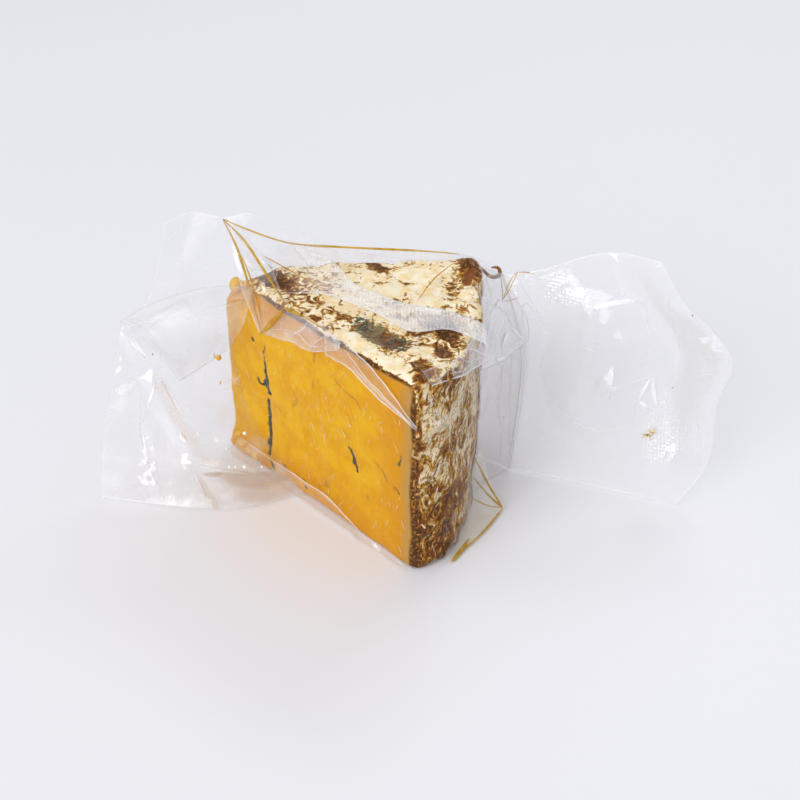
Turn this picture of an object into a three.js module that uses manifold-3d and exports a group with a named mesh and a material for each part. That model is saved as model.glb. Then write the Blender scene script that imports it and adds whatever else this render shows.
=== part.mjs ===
// A wedge of orange blue cheese, shrunk tight in a clear vacuum bag, lying as it stands on a table.
// The wedge is one solid. The bag is one solid too: the film that stands free of the cheese.
// Millimetres, +Z up. +X goes to the side with the rind, +Y to the back, the foot is at z = 0.
import * as THREE from 'three';
import { mergeVertices } from 'three/addons/utils/BufferGeometryUtils.js';
import Module from 'manifold-3d';

const wasm = await Module();
wasm.setup();

// Wedge, seen from above: two cut faces that meet at the tip, and the rind of a 21 cm wheel.
const HEIGHT = 88.5;
const MIDDLE = new THREE.Vector2(-3, 0);
const TIP = new THREE.Vector2(-69.5, 27.5);
const FRONT_CORNER = new THREE.Vector2(9.5, -54);
const BACK_CORNER = new THREE.Vector2(36, 37.5);
const RIND_BULGE = [new THREE.Vector2(24, -43), new THREE.Vector2(34, -8)];
const FRONT_STEPS = 36;
const RIND_STEPS = 34;
const BACK_STEPS = 18;
const CORNER_SMOOTHING = 2;
const LEVELS = 21;
const FOOT_ROUND = 2.4;
const TOP_ROUND = 3.4;
const ROUND_STEPS = 3;
const TOP_RINGS = [0.93, 0.84, 0.73, 0.61, 0.48, 0.33, 0.16];

// Relief of the wedge.
const TIP_CHAMFER = 11;
const TIP_CHAMFER_DEPTH = 15;
const RIND_TAPER = 1.2;
const RIND_BELLY = 2;
const FOOT_BULGE = 3.5;
const FOOT_BULGE_HEIGHT = 16;
const RIND_CRAGS = 1.5;
const TOP_CRAGS = 1.2;
const PASTE_WAVES = 0.55;
const CRATER = { x: 0, y: -18, rx: 13, ry: 7, depth: 2.2 };
const VEINS = [
  { x: -51, low: 2, high: 70, width: 2.6, depth: 1.3 },
  { x: -16, low: 24, high: 46, width: 2.4, depth: 1.0 },
];

// Bag.
const FILM = 0.9;
const FILM_GAP = 0.35;
const FLOOR_GAP = 0.3;

function hash(ix, iy, iz) {
  const s = Math.sin(ix * 127.1 + iy * 311.7 + iz * 74.7) * 43758.5453;
  return 2 * (s - Math.floor(s)) - 1;
}

function ease(t) {
  return t * t * (3 - 2 * t);
}

// Smooth noise from -1 to 1, one lump for each unit of length.
function noise(x, y, z) {
  const base = [Math.floor(x), Math.floor(y), Math.floor(z)];
  const part = [ease(x - base[0]), ease(y - base[1]), ease(z - base[2])];
  let sum = 0;
  for (let corner = 0; corner < 8; corner += 1) {
    const bit = [corner & 1, (corner >> 1) & 1, (corner >> 2) & 1];
    let weight = 1;
    for (let axis = 0; axis < 3; axis += 1) {
      weight *= bit[axis] ? part[axis] : 1 - part[axis];
    }
    sum += weight * hash(base[0] + bit[0], base[1] + bit[1], base[2] + bit[2]);
  }
  return sum;
}

// A soft bump: 1 in the middle and 0 from a distance of 1 outwards.
function bump(distance) {
  return Math.abs(distance) < 1 ? ease(1 - Math.abs(distance)) : 0;
}

// The outline of the wedge as points that know which face they are on.
function wedgeOutline() {
  const outline = [];
  for (let i = 0; i < FRONT_STEPS; i += 1) {
    outline.push({ at: TIP.clone().lerp(FRONT_CORNER, i / FRONT_STEPS), face: 'front' });
  }
  const rind = new THREE.SplineCurve([FRONT_CORNER, ...RIND_BULGE, BACK_CORNER]);
  for (let i = 0; i < RIND_STEPS; i += 1) {
    outline.push({ at: rind.getPointAt(i / RIND_STEPS), face: 'rind' });
  }
  for (let i = 0; i < BACK_STEPS; i += 1) {
    outline.push({ at: BACK_CORNER.clone().lerp(TIP, i / BACK_STEPS), face: 'back' });
  }
  for (let pass = 0; pass < CORNER_SMOOTHING; pass += 1) {
    const before = outline.map((point) => point.at.clone());
    outline.forEach((point, i) => {
      const last = before[(i + before.length - 1) % before.length];
      const next = before[(i + 1) % before.length];
      point.at.multiplyScalar(2).add(last).add(next).multiplyScalar(0.25);
    });
  }
  return outline;
}

// How far the side of the wedge stands out from its plain outline at a point.
function sideRelief(point, z) {
  const { x, y } = point.at;
  const nearTip = ease(THREE.MathUtils.clamp(1 - (x - TIP.x) / 30, 0, 1));
  const chamfer = THREE.MathUtils.clamp((z - HEIGHT + TIP_CHAMFER_DEPTH) / TIP_CHAMFER_DEPTH, 0, 1);
  let out = -TIP_CHAMFER * nearTip * chamfer * chamfer;
  if (point.face === 'rind') {
    const streak = noise(0.16 * (y + 0.6 * z), 0.07 * (z - 0.6 * y), 3);
    const lump = noise(0.28 * y, 0.28 * z, 9);
    const backward = THREE.MathUtils.clamp((y + 20) / 55, 0, 1);
    out += RIND_CRAGS * (0.7 * streak + 0.5 * lump);
    out += backward * (RIND_BELLY * Math.sin((Math.PI * z) / HEIGHT) - RIND_TAPER * (1 - z / HEIGHT));
  } else {
    out += PASTE_WAVES * noise(0.055 * x, 0.055 * y + 4, 0.06 * z);
  }
  out += FOOT_BULGE * nearTip * bump(z / FOOT_BULGE_HEIGHT);
  if (point.face === 'front') {
    for (const vein of VEINS) {
      const along = bump((z - (vein.low + vein.high) / 2) / (0.62 * (vein.high - vein.low)));
      const drift = 1.5 * noise(0.09 * z, vein.x, 1);
      out -= vein.depth * along * bump((x - vein.x - drift) / (vein.width * 1.4));
    }
  }
  return out;
}

// Height of the craggy top rind.
function topHeight(x, y) {
  const crater = bump(Math.hypot((x - CRATER.x) / CRATER.rx, (y - CRATER.y) / CRATER.ry));
  const crags = 0.6 * noise(0.1 * x, 0.1 * y, 21) + 0.6 * noise(0.24 * x, 0.24 * y, 33);
  const nearTip = ease(THREE.MathUtils.clamp(1 - (x - TIP.x) / 26, 0, 1));
  return HEIGHT + TOP_CRAGS * crags - CRATER.depth * crater - 2.5 * nearTip;
}

// Levels of the side: a rounded foot, even steps, and a rounded top edge.
function sideLevels() {
  const levels = [];
  for (let i = 0; i <= ROUND_STEPS; i += 1) {
    const turn = (Math.PI / 2) * (i / ROUND_STEPS);
    levels.push({ z: FOOT_ROUND * (1 - Math.cos(turn)), inset: FOOT_ROUND * (1 - Math.sin(turn)) });
  }
  const low = FOOT_ROUND;
  const high = HEIGHT - TOP_ROUND;
  for (let i = 1; i < LEVELS; i += 1) {
    levels.push({ z: low + (high - low) * (i / LEVELS), inset: 0 });
  }
  for (let i = 0; i <= ROUND_STEPS; i += 1) {
    const turn = (Math.PI / 2) * (i / ROUND_STEPS);
    levels.push({ z: high + TOP_ROUND * Math.sin(turn), inset: TOP_ROUND * (1 - Math.cos(turn)) });
  }
  return levels;
}

// The wedge as rings from the foot to the top, with grow as an even allowance all round.
function wedgeGeometry(grow) {
  const outline = wedgeOutline();
  const count = outline.length;
  const positions = [MIDDLE.x, MIDDLE.y, -grow];
  const index = [];
  const ringAt = (reach, height) => {
    outline.forEach((point, i) => {
      const out = point.at.clone().sub(MIDDLE);
      const far = reach(point, out.length());
      out.setLength(far).add(MIDDLE);
      positions.push(out.x, out.y, height(out, i));
    });
  };
  const levels = sideLevels();
  for (const { z, inset } of levels) {
    const lift = z / HEIGHT;
    ringAt(
      (point, length) => length + sideRelief(point, z) - inset + grow,
      (out) => (z === 0 ? -grow : z + lift * lift * (topHeight(out.x, out.y) - HEIGHT) + grow * lift),
    );
  }
  const rim = levels[levels.length - 1];
  for (const part of TOP_RINGS) {
    ringAt(
      (point, length) => part * (length + sideRelief(point, rim.z) - rim.inset + grow),
      (out) => topHeight(out.x, out.y) + grow,
    );
  }
  const rings = levels.length + TOP_RINGS.length;
  positions.push(MIDDLE.x, MIDDLE.y, topHeight(MIDDLE.x, MIDDLE.y) + grow);
  const last = positions.length / 3 - 1;
  for (let i = 0; i < count; i += 1) {
    const next = (i + 1) % count;
    index.push(0, 1 + next, 1 + i);
    for (let ring = 0; ring < rings - 1; ring += 1) {
      const here = 1 + ring * count;
      const above = here + count;
      index.push(here + i, here + next, above + next, here + i, above + next, above + i);
    }
    const top = 1 + (rings - 1) * count;
    index.push(top + i, top + next, last);
  }
  return closedGeometry(positions, index);
}

function closedGeometry(positions, index) {
  const geometry = new THREE.BufferGeometry();
  geometry.setAttribute('position', new THREE.Float32BufferAttribute(positions, 3));
  geometry.setIndex(index);
  return geometry;
}

function vectors(points) {
  return points.map((point) => new THREE.Vector3(...point));
}

// A smooth edge through a few points, read by its length from 0 to 1.
function edgeCurve(points) {
  const curve = new THREE.CatmullRomCurve3(vectors(points), false, 'centripetal');
  curve.arcLengthDivisions = 60;
  return (t) => curve.getPointAt(t);
}

// Middle surface of a sheet of film hung between its four edges, and how far its crumples
// and folds lift it from there.
function sheetSurface({ bottom, top, left, right, crumple = 0, lump = 0.07, folds = [], seed = 0 }) {
  const [low, high, first, last] = [bottom, top, left, right].map(edgeCurve);
  return (u, v) => {
    const point = low(u).multiplyScalar(1 - v).add(high(u).multiplyScalar(v));
    point.add(first(v).multiplyScalar(1 - u)).add(last(v).multiplyScalar(u));
    point.addScaledVector(low(0), -(1 - u) * (1 - v)).addScaledVector(low(1), -u * (1 - v));
    point.addScaledVector(high(0), -(1 - u) * v).addScaledVector(high(1), -u * v);
    let lift = crumple * noise(lump * point.x + seed, lump * point.z, seed);
    lift += 0.5 * crumple * noise(2.3 * lump * point.x, 2.3 * lump * point.z + seed, seed + 5);
    for (const fold of folds) {
      const run = new THREE.Vector2(fold.to[0] - fold.from[0], fold.to[1] - fold.from[1]);
      const away = new THREE.Vector2(u - fold.from[0], v - fold.from[1]);
      const along = THREE.MathUtils.clamp(away.dot(run) / run.lengthSq(), 0, 1);
      const side = away.addScaledVector(run, -along).length();
      lift += fold.height * Math.max(0, 1 - side / fold.width);
    }
    return { point, lift };
  };
}

// A sheet as a thin closed solid: both faces are split alike, and the rim joins them.
function sheetGeometry(sheet) {
  const { columns, rows, puff = () => 0 } = sheet;
  const surface = sheetSurface(sheet);
  const facing = new THREE.Vector3(...sheet.facing).normalize();
  const positions = [];
  const across = columns + 1;
  for (const side of [1, -1]) {
    for (let row = 0; row <= rows; row += 1) {
      for (let column = 0; column <= columns; column += 1) {
        const u = column / columns;
        const v = row / rows;
        const { point, lift } = surface(u, v);
        const half = FILM / 2 + puff(u, v);
        point.addScaledVector(facing, lift + side * half);
        point.z = Math.max(point.z, FLOOR_GAP + (side === 1 ? FILM * Math.abs(facing.z) : 0));
        positions.push(point.x, point.y, point.z);
      }
    }
  }
  const layer = across * (rows + 1);
  const index = [];
  const quad = (a, b, c, d) => index.push(a, b, c, a, c, d);
  for (let row = 0; row < rows; row += 1) {
    for (let column = 0; column < columns; column += 1) {
      const a = row * across + column;
      const [b, c, d] = [a + 1, a + across + 1, a + across];
      quad(a, b, c, d);
      index.push(layer + a, layer + c, layer + b, layer + a, layer + d, layer + c);
    }
  }
  const rim = [];
  for (let column = 0; column < columns; column += 1) rim.push(column);
  for (let row = 0; row < rows; row += 1) rim.push(row * across + columns);
  for (let column = columns; column > 0; column -= 1) rim.push(rows * across + column);
  for (let row = rows; row > 0; row -= 1) rim.push(row * across);
  rim.forEach((a, i) => {
    const b = rim[(i + 1) % rim.length];
    quad(a, layer + a, layer + b, b);
  });
  return closedGeometry(positions, index);
}

function toSolid(geometry) {
  const bare = mergeVertices(geometry, 1e-4);
  const mesh = new wasm.Mesh({
    numProp: 3,
    vertProperties: new Float32Array(bare.attributes.position.array),
    triVerts: new Uint32Array(bare.index.array),
  });
  return new wasm.Manifold(mesh);
}

function toGeometry(solid) {
  const mesh = solid.getMesh();
  return closedGeometry(Array.from(mesh.vertProperties), Array.from(mesh.triVerts));
}

// The left half of the bag: a crumpled lower flap, an upper sheet and a flap folded over.
const LEFT_LEAN = [0.1, -0.94, 0.33];
const PEAK = [-65, 28, 110];
const leftLowerFlap = {
  facing: LEFT_LEAN, columns: 15, rows: 12, crumple: 2.6, lump: 0.075, seed: 3,
  bottom: [[-120, -10, 1], [-106, -13, 1], [-86, -17, 1], [-60, -17, 1], [-34, -7, 1]],
  top: [[-107, 13, 70], [-88, 14, 74], [-58, 17, 80]],
  left: [[-120, -10, 1], [-117, -2, 28], [-112, 6, 49], [-107, 13, 70]],
  right: [[-34, -7, 1], [-55, 17, 22], [-60, 24, 48], [-58, 17, 80]],
  folds: [{ from: [0.1, 0.75], to: [0.85, 0.22], height: 3.5, width: 0.16 }],
};
const leftUpperSheet = {
  facing: LEFT_LEAN, columns: 16, rows: 8, crumple: 1.6, seed: 11,
  bottom: [[-107, 13, 69], [-88, 14, 73], [-62, 17, 80], [-34, 22, 86], [-14, 27, 87]],
  top: [
    [-88, 27, 109], [-77, 29, 113], [-64, 27, 112], [-54, 24, 115], [-45, 23, 112], [-27, 23, 103],
    [-14, 27, 90],
  ],
  left: [[-107, 13, 69], [-96, 17, 80], [-92, 21, 92], [-88, 27, 109]],
  right: [[-14, 27, 87], [-14, 27, 90]],
  folds: [{ from: [0.32, 1], to: [0.55, 0], height: 2, width: 0.1 }],
};
const leftFoldedFlap = {
  facing: LEFT_LEAN, columns: 11, rows: 7, crumple: 1.0, seed: 19,
  bottom: [[-83, -4, 55], [-74, -1, 60], [-64, 2, 66]],
  top: [[-107, 12, 73], [-94, 14, 80], [-72, 15, 87], [-53, 14, 88]],
  left: [[-83, -4, 55], [-88, -1, 62], [-99, 6, 71], [-107, 12, 73]],
  right: [[-64, 2, 66], [-57, 5, 76], [-53, 14, 88]],
};

// The film that stands over the top: a tent down to the front face, a ridge along the back
// edge, and the embossed band that crosses the rind.
const tent = {
  facing: [-0.6, -0.6, 0.5], columns: 7, rows: 9, crumple: 0.6, seed: 23,
  bottom: [[-51, 7, 70], [-46, 2, 80], [-38, -4, 90]],
  top: [PEAK, [-56, 27, 102], [-47, 26, 92]],
  left: [[-51, 7, 70], [-59, 17, 88], PEAK],
  right: [[-38, -4, 90], [-44, 10, 94], [-47, 26, 92]],
};
const backRidge = {
  facing: [0, -0.9, 0.4], columns: 16, rows: 3, crumple: 0.8, seed: 29,
  bottom: [[-56, 27, 87], [-20, 31, 87], [20, 35, 87], [45, 36, 78]],
  top: [PEAK, [-40, 27, 100], [-4, 31, 95], [28, 34, 91], [47, 37, 82]],
  left: [[-56, 27, 87], PEAK],
  right: [[45, 36, 78], [47, 37, 82]],
};
const topBand = {
  facing: [0, -0.2, 1], columns: 18, rows: 4, crumple: 0.7, lump: 0.12, seed: 31,
  bottom: [[-42, 2, 92], [-24, -2, 94], [-5, -12, 92], [8, -24, 91.5], [22, -22, 91], [36, -28, 88]],
  top: [[-46, 24, 103], [-24, 20, 97], [-13, 4, 95], [4, -6, 93], [22, -10, 91.5], [36, -14, 88]],
  left: [[-42, 2, 92], [-46, 24, 103]],
  right: [[36, -28, 88], [36, -14, 88]],
};

// The right half: two films leave the rind, meet in a standing fold and run on as a wide flap.
const RIGHT_LEAN = [-0.32, -0.9, 0.3];
const rindWeb = {
  facing: [0.8, -0.6, 0], columns: 7, rows: 11, crumple: 1.0, seed: 37,
  bottom: [[32.5, -12, 1], [41, 0, 1], [51, 9, 1]],
  top: [[29, -22, 87], [36, 8, 87], [40, 30, 84], [46, 36, 81]],
  left: [[32.5, -12, 1], [34, -11, 45], [29, -22, 87]],
  right: [[51, 9, 1], [54, 26, 52], [46, 36, 81]],
};
const rindBackWeb = {
  facing: [0.4, -0.9, 0], columns: 5, rows: 11, crumple: 0.8, seed: 41,
  bottom: [[31, 22, 1], [40, 17, 1], [51, 9, 1]],
  top: [[33, 34, 86], [40, 36, 83], [46, 36, 81]],
  left: [[31, 22, 1], [34, 31, 45], [33, 34, 86]],
  right: [[51, 9, 1], [54, 26, 52], [46, 36, 81]],
};
const LENS = { u: 0.42, v: 0.52, ru: 0.34, rv: 0.36, half: 4.5 };
const rightFlap = {
  facing: RIGHT_LEAN, columns: 19, rows: 14, crumple: 1.5, lump: 0.06, seed: 43,
  bottom: [[50, 9, 1], [71, 2, 1], [100, -9, 1], [118, -15, 1]],
  top: [[45, 37, 80], [61, 34, 84], [79, 30, 93], [91, 27, 96], [107, 21, 95]],
  left: [[50, 9, 1], [54, 26, 52], [45, 37, 80]],
  right: [
    [118, -15, 1], [129, -11, 19], [131, -4, 45], [135, -1, 62], [126, 7, 73], [117, 12, 80],
    [107, 21, 95],
  ],
  puff: (u, v) => LENS.half * bump(Math.hypot((u - LENS.u) / LENS.ru, (v - LENS.v) / LENS.rv)),
  folds: [{ from: [0.7, 0.95], to: [0.86, 0.1], height: 2, width: 0.1 }],
};
const footWeb = {
  facing: [0.6, -0.6, 0.5], columns: 7, rows: 6, crumple: 0.6, seed: 47,
  bottom: [[22, -50, 1], [34, -36, 1], [46, -18, 1]],
  top: [[21, -41, 9], [30, -26, 16], [37, -5, 24]],
  left: [[22, -50, 1], [21, -41, 9]],
  right: [[46, -18, 1], [40, -10, 12], [37, -5, 24]],
};

function makeMesh(name, geometry, material) {
  geometry.computeVertexNormals();
  const mesh = new THREE.Mesh(geometry, new THREE.MeshStandardMaterial(material));
  mesh.name = name;
  return mesh;
}

function cheeseWedge() {
  return makeMesh('cheese_wedge', wedgeGeometry(0), { color: 0xd98a1e, roughness: 0.45, metalness: 0 });
}

// The film is trimmed where it meets the cheese, so the bag is one piece that wraps round it.
function vacuumBag() {
  const sheets = [
    leftLowerFlap, leftUpperSheet, leftFoldedFlap, tent, backRidge, topBand,
    rindWeb, rindBackWeb, rightFlap, footWeb,
  ];
  const film = sheets.map((sheet) => toSolid(sheetGeometry(sheet))).reduce((all, next) => all.add(next));
  const trimmed = film.subtract(toSolid(wedgeGeometry(FILM_GAP)));
  const pieces = trimmed.decompose().sort((a, b) => b.volume() - a.volume());
  return makeMesh('vacuum_bag', toGeometry(pieces[0]), {
    color: 0xe9ecef, roughness: 0.12, metalness: 0, transparent: true, opacity: 0.3,
  });
}

const group = new THREE.Group();
group.add(cheeseWedge());
group.add(vacuumBag());

export default group;
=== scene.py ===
# The looks of a wedge of orange blue cheese in a clear vacuum bag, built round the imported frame.
# Lengths in the tables below are millimetres in the frame's own axes; Blender's are metres.
import math

import bpy
import numpy as np
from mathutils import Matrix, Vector
from mathutils.bvhtree import BVHTree


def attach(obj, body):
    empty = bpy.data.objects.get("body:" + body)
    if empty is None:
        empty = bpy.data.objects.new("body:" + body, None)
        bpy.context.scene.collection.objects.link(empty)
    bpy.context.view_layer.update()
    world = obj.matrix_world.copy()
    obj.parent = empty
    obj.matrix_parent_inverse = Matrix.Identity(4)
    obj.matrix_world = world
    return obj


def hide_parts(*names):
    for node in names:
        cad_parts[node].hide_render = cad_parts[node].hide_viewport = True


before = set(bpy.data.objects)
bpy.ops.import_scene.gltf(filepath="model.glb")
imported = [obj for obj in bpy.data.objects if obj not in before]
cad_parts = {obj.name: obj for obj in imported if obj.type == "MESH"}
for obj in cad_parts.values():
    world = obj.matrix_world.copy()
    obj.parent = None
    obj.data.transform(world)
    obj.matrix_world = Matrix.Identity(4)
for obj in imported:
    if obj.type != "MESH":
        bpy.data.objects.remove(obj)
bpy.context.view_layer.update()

MM = 0.001

# The wedge, as the CAD part has it.
HEIGHT = 88.5
TIP = np.array([-69.5, 27.5])
FRONT_WAY = np.array([0.718, 0.696])
FRONT_CORNER = np.array([9.5, -54.0])
BACK_CORNER = np.array([36.0, 37.5])
RIND_POINTS = [FRONT_CORNER, (24.0, -43.0), (34.0, -8.0), BACK_CORNER]
RIND_THICK = 2.0

# Camera: the photograph's height of view and distance, worked out from the wedge's edges.
CAMERA_TARGET = (4.0, 60.0, 0.0)
CAMERA_DISTANCE = 596.0
CAMERA_ELEVATION = math.radians(35.8)
CAMERA_LENS = 58.5
SENSOR = 36.0

# The stage, in metres and watts. Lights: name, place, aim, size, power and colour.
FLOOR_SIZE = 6.0
WORLD_COLOUR = (0.90, 0.91, 0.96, 1.0)
WORLD_STRENGTH = 0.74
LIGHTS = [
    ("key", (-1.5, -1.75, 1.5), (0.0, 0.0, 0.04), (2.0, 1.6), 34.0, (1.0, 0.99, 0.97)),
    ("spark", (-1.4, -1.7, 1.6), (0.0, 0.0, 0.04), (0.26, 0.2), 6.5, (1.0, 1.0, 1.0)),
    ("back", (0.5, 1.0, 1.1), (0.0, 0.0, 0.03), (0.6, 0.25), 3.0, (1.0, 1.0, 1.0)),
]

# The film: half its thickness as shown, its height off the floor and how much higher its front layer lies,
# the width over which its two layers close, the size of its faces, and the radius of a strand on a rim.
HALF_FILM = 0.06
OFF_FLOOR = 0.35
LAYER_STEP = 0.1
SEAL_WIDTH = 6.0
SHEET_STEP = 1.1
RIM_RADIUS = 0.28

# Patches that lie on a sheet: how far off it and how thick.
PATCH_LIFT = 0.3
PATCH_THICK = 0.2

# Points between two given points of a curve, and points of a short wrinkle.
CURVE_STEPS = 24
WRINKLE_POINTS = 9

scene = bpy.context.scene
scene.view_settings.view_transform = "Standard"
scene.cycles.transparent_max_bounces = 48


# Numbers on arrays

def smooth(low, high, value):
    """0 below low, 1 above high, with a soft step between."""
    t = np.clip((value - low) / (high - low), 0.0, 1.0)
    return t * t * (3.0 - 2.0 * t)


def bump(distance):
    """1 at 0 and 0 from 1 outwards."""
    return smooth(0.0, 1.0, 1.0 - np.abs(distance))


def lattice(ix, iy, iz, seed):
    """A fixed number from -1 to 1 for each whole-number place."""
    h = (ix * 374761393 + iy * 668265263 + iz * 1274126177 + seed * 974634777) & 0xFFFFFFFF
    h = ((h ^ (h >> 13)) * 1103515245) & 0xFFFFFFFF
    h = ((h ^ (h >> 16)) * 12820163) & 0xFFFFFFFF
    return ((h ^ (h >> 15)) & 0xFFFF) / 32767.5 - 1.0


def noise(p, size, seed):
    """Smooth noise from -1 to 1 with lumps of the given size in millimetres."""
    q = np.asarray(p, float) / size
    base = np.floor(q).astype(np.int64)
    f = q - base
    f = f * f * (3.0 - 2.0 * f)
    total = np.zeros(len(q))
    for corner in range(8):
        bit = [(corner >> axis) & 1 for axis in range(3)]
        weight = np.ones(len(q))
        for axis in range(3):
            weight *= f[:, axis] if bit[axis] else 1.0 - f[:, axis]
        total += weight * lattice(*(base[:, axis] + bit[axis] for axis in range(3)), seed)
    return total


def fixed_draws(count, index, group, seed):
    """Numbers from -1 to 1 that are the same at each run."""
    return [float(lattice(index, k, group, seed)) for k in range(count)]


def rough(p, size, octaves, seed):
    """Noise with finer and finer lumps added, each half as strong."""
    total = np.zeros(len(p))
    for step in range(octaves):
        total += 0.5 ** step * noise(p, size / 2.0 ** step, seed + 17 * step)
    return total / (2.0 - 0.5 ** (octaves - 1))


def line_distance(q, points):
    """Distance from 2-D points to an open line, and how far along it they are from 0 to 1."""
    points = np.asarray(points, float)
    best = np.full(len(q), 1e9)
    along = np.zeros(len(q))
    count = len(points) - 1
    for i in range(count):
        start = points[i]
        way = points[i + 1] - start
        t = np.clip(((q - start) @ way) / (way @ way), 0.0, 1.0)
        near = np.linalg.norm(q - start - t[:, None] * way, axis=1)
        nearer = near < best
        best[nearer] = near[nearer]
        along[nearer] = (i + t[nearer]) / count
    return best, along


def line_length(points):
    """Length of an open line through points."""
    return np.linalg.norm(np.diff(np.asarray(points, float), axis=0), axis=1).sum()


def curve(points, t):
    """Points along a smooth centripetal curve through a few points, evenly spread by length."""
    points = np.asarray(points, float)
    if len(points) == 2:
        return points[0] + np.outer(t, points[1] - points[0])
    padded = np.vstack([2 * points[0] - points[1], points, 2 * points[-1] - points[-2]])
    fine = []
    for i in range(len(points) - 1):
        p0, p1, p2, p3 = padded[i:i + 4]
        gaps = [max(np.linalg.norm(b - a) ** 0.5, 1e-6) for a, b in ((p0, p1), (p1, p2), (p2, p3))]
        t1 = gaps[0]
        t2 = t1 + gaps[1]
        t3 = t2 + gaps[2]
        s = np.linspace(t1, t2, CURVE_STEPS, endpoint=False)[:, None]
        a1 = (t1 - s) / t1 * p0 + s / t1 * p1
        a2 = (t2 - s) / (t2 - t1) * p1 + (s - t1) / (t2 - t1) * p2
        a3 = (t3 - s) / (t3 - t2) * p2 + (s - t2) / (t3 - t2) * p3
        b1 = (t2 - s) / t2 * a1 + s / t2 * a2
        b2 = (t3 - s) / (t3 - t1) * a2 + (s - t1) / (t3 - t1) * a3
        fine.append((t2 - s) / (t2 - t1) * b1 + (s - t1) / (t2 - t1) * b2)
    fine.append(points[-1:])
    fine = np.vstack(fine)
    length = np.concatenate([[0.0], np.cumsum(np.linalg.norm(np.diff(fine, axis=0), axis=1))])
    length /= length[-1]
    return np.stack([np.interp(t, length, fine[:, axis]) for axis in range(fine.shape[1])], 1)


# Meshes

def add_object(name, mesh):
    obj = bpy.data.objects.new(name, mesh)
    scene.collection.objects.link(obj)
    return obj


def mesh_from(name, points, faces, flat_from=None):
    """A mesh from points in millimetres; faces from number flat_from on keep hard edges."""
    mesh = bpy.data.meshes.new(name)
    mesh.from_pydata([tuple(p) for p in np.asarray(points) * MM], [], faces)
    mesh.update()
    shaded = np.ones(len(mesh.polygons), bool)
    if flat_from is not None:
        shaded[flat_from:] = False
    mesh.polygons.foreach_set("use_smooth", shaded)
    return add_object(name, mesh)


def get_points(mesh):
    flat = np.zeros(len(mesh.vertices) * 3)
    mesh.vertices.foreach_get("co", flat)
    return flat.reshape(-1, 3) / MM


def set_points(mesh, points):
    mesh.vertices.foreach_set("co", (points * MM).ravel())
    mesh.update()


def get_normals(mesh):
    flat = np.zeros(len(mesh.vertices) * 3)
    mesh.vertex_normals.foreach_get("vector", flat)
    return flat.reshape(-1, 3)


def set_field(mesh, name, values):
    """Keeps one number for each vertex, which the materials read by name."""
    field = mesh.attributes.new(name, "FLOAT", "POINT")
    field.data.foreach_set("value", np.asarray(values, np.float32))


def baked(obj, *modifiers):
    """Adds modifiers to an object, applies them and returns it."""
    for kind, settings in modifiers:
        modifier = obj.modifiers.new(kind, kind)
        for key, value in settings.items():
            setattr(modifier, key, value)
    depsgraph = bpy.context.evaluated_depsgraph_get()
    mesh = bpy.data.meshes.new_from_object(obj.evaluated_get(depsgraph))
    obj.modifiers.clear()
    obj.data = mesh
    mesh.polygons.foreach_set("use_smooth", np.ones(len(mesh.polygons), bool))
    return obj


def dressed(obj, material):
    """Gives an object its one material and returns it."""
    obj.data.materials.clear()
    obj.data.materials.append(material)
    return obj


# Materials

class Shader:
    """A material whose nodes are added one call at a time."""

    def __init__(self, name):
        self.material = bpy.data.materials.new(name)
        self.material.use_nodes = True
        self.tree = self.material.node_tree
        self.tree.nodes.clear()

    def fill(self, socket, value):
        """Links a socket to another one, or sets it to a constant."""
        if isinstance(value, bpy.types.NodeSocket):
            self.tree.links.new(value, socket)
        elif socket.type == "RGBA":
            socket.default_value = (*value, 1.0)
        else:
            socket.default_value = value

    def add(self, kind, inputs=(), **settings):
        node = self.tree.nodes.new(kind)
        for key, value in settings.items():
            setattr(node, key, value)
        for key, value in dict(inputs).items():
            self.fill(node.inputs[key], value)
        return node

    def place(self):
        return self.add("ShaderNodeTexCoord").outputs["Object"]

    def field(self, name):
        return self.add("ShaderNodeAttribute", attribute_name=name).outputs["Fac"]

    def math(self, operation, *values):
        return self.add("ShaderNodeMath", enumerate(values), operation=operation).outputs[0]

    def times(self, first, second):
        return self.math("MULTIPLY", first, second)

    def off_middle(self, value):
        """How far noise is above a half, which is its middle."""
        return self.math("SUBTRACT", value, 0.5)

    def noise(self, size, detail=3.0, roughness=0.55, distortion=0.0, stretch=(1.0, 1.0, 1.0), turn=0.0):
        """Blender's noise with lumps of a size in millimetres, stretched after a turn about the X axis."""
        inputs = {"Vector": self.place(), "Rotation": (turn, 0.0, 0.0), "Scale": stretch}
        scaled = self.add("ShaderNodeMapping", inputs, vector_type="TEXTURE").outputs[0]
        inputs = {"Vector": scaled, "Scale": 1.0 / (size * MM), "Detail": detail,
                  "Roughness": roughness, "Distortion": distortion}
        return self.add("ShaderNodeTexNoise", inputs).outputs[0]

    def step(self, low, high, value):
        inputs = {"Value": value, "From Min": low, "From Max": high}
        return self.add("ShaderNodeMapRange", inputs, interpolation_type="SMOOTHSTEP").outputs[0]

    def mix(self, factor, first, second):
        return self.add("ShaderNodeMix", {0: factor, 6: first, 7: second}, data_type="RGBA").outputs[2]

    def bump(self, height, strength, distance, normal=None):
        inputs = {"Height": height, "Strength": strength, "Distance": distance * MM}
        if normal is not None:
            inputs["Normal"] = normal
        return self.add("ShaderNodeBump", inputs).outputs[0]

    def solid(self, colour, roughness, more=()):
        inputs = {"Base Color": colour, "Roughness": roughness, **dict(more)}
        return self.add("ShaderNodeBsdfPrincipled", inputs).outputs[0]

    def clear(self, colour):
        return self.add("ShaderNodeBsdfTransparent", {"Color": colour}).outputs[0]

    def blend(self, share, first, second):
        return self.add("ShaderNodeMixShader", {0: share, 1: first, 2: second}).outputs[0]

    def finish(self, shader):
        self.add("ShaderNodeOutputMaterial", {"Surface": shader})
        return self.material


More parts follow.
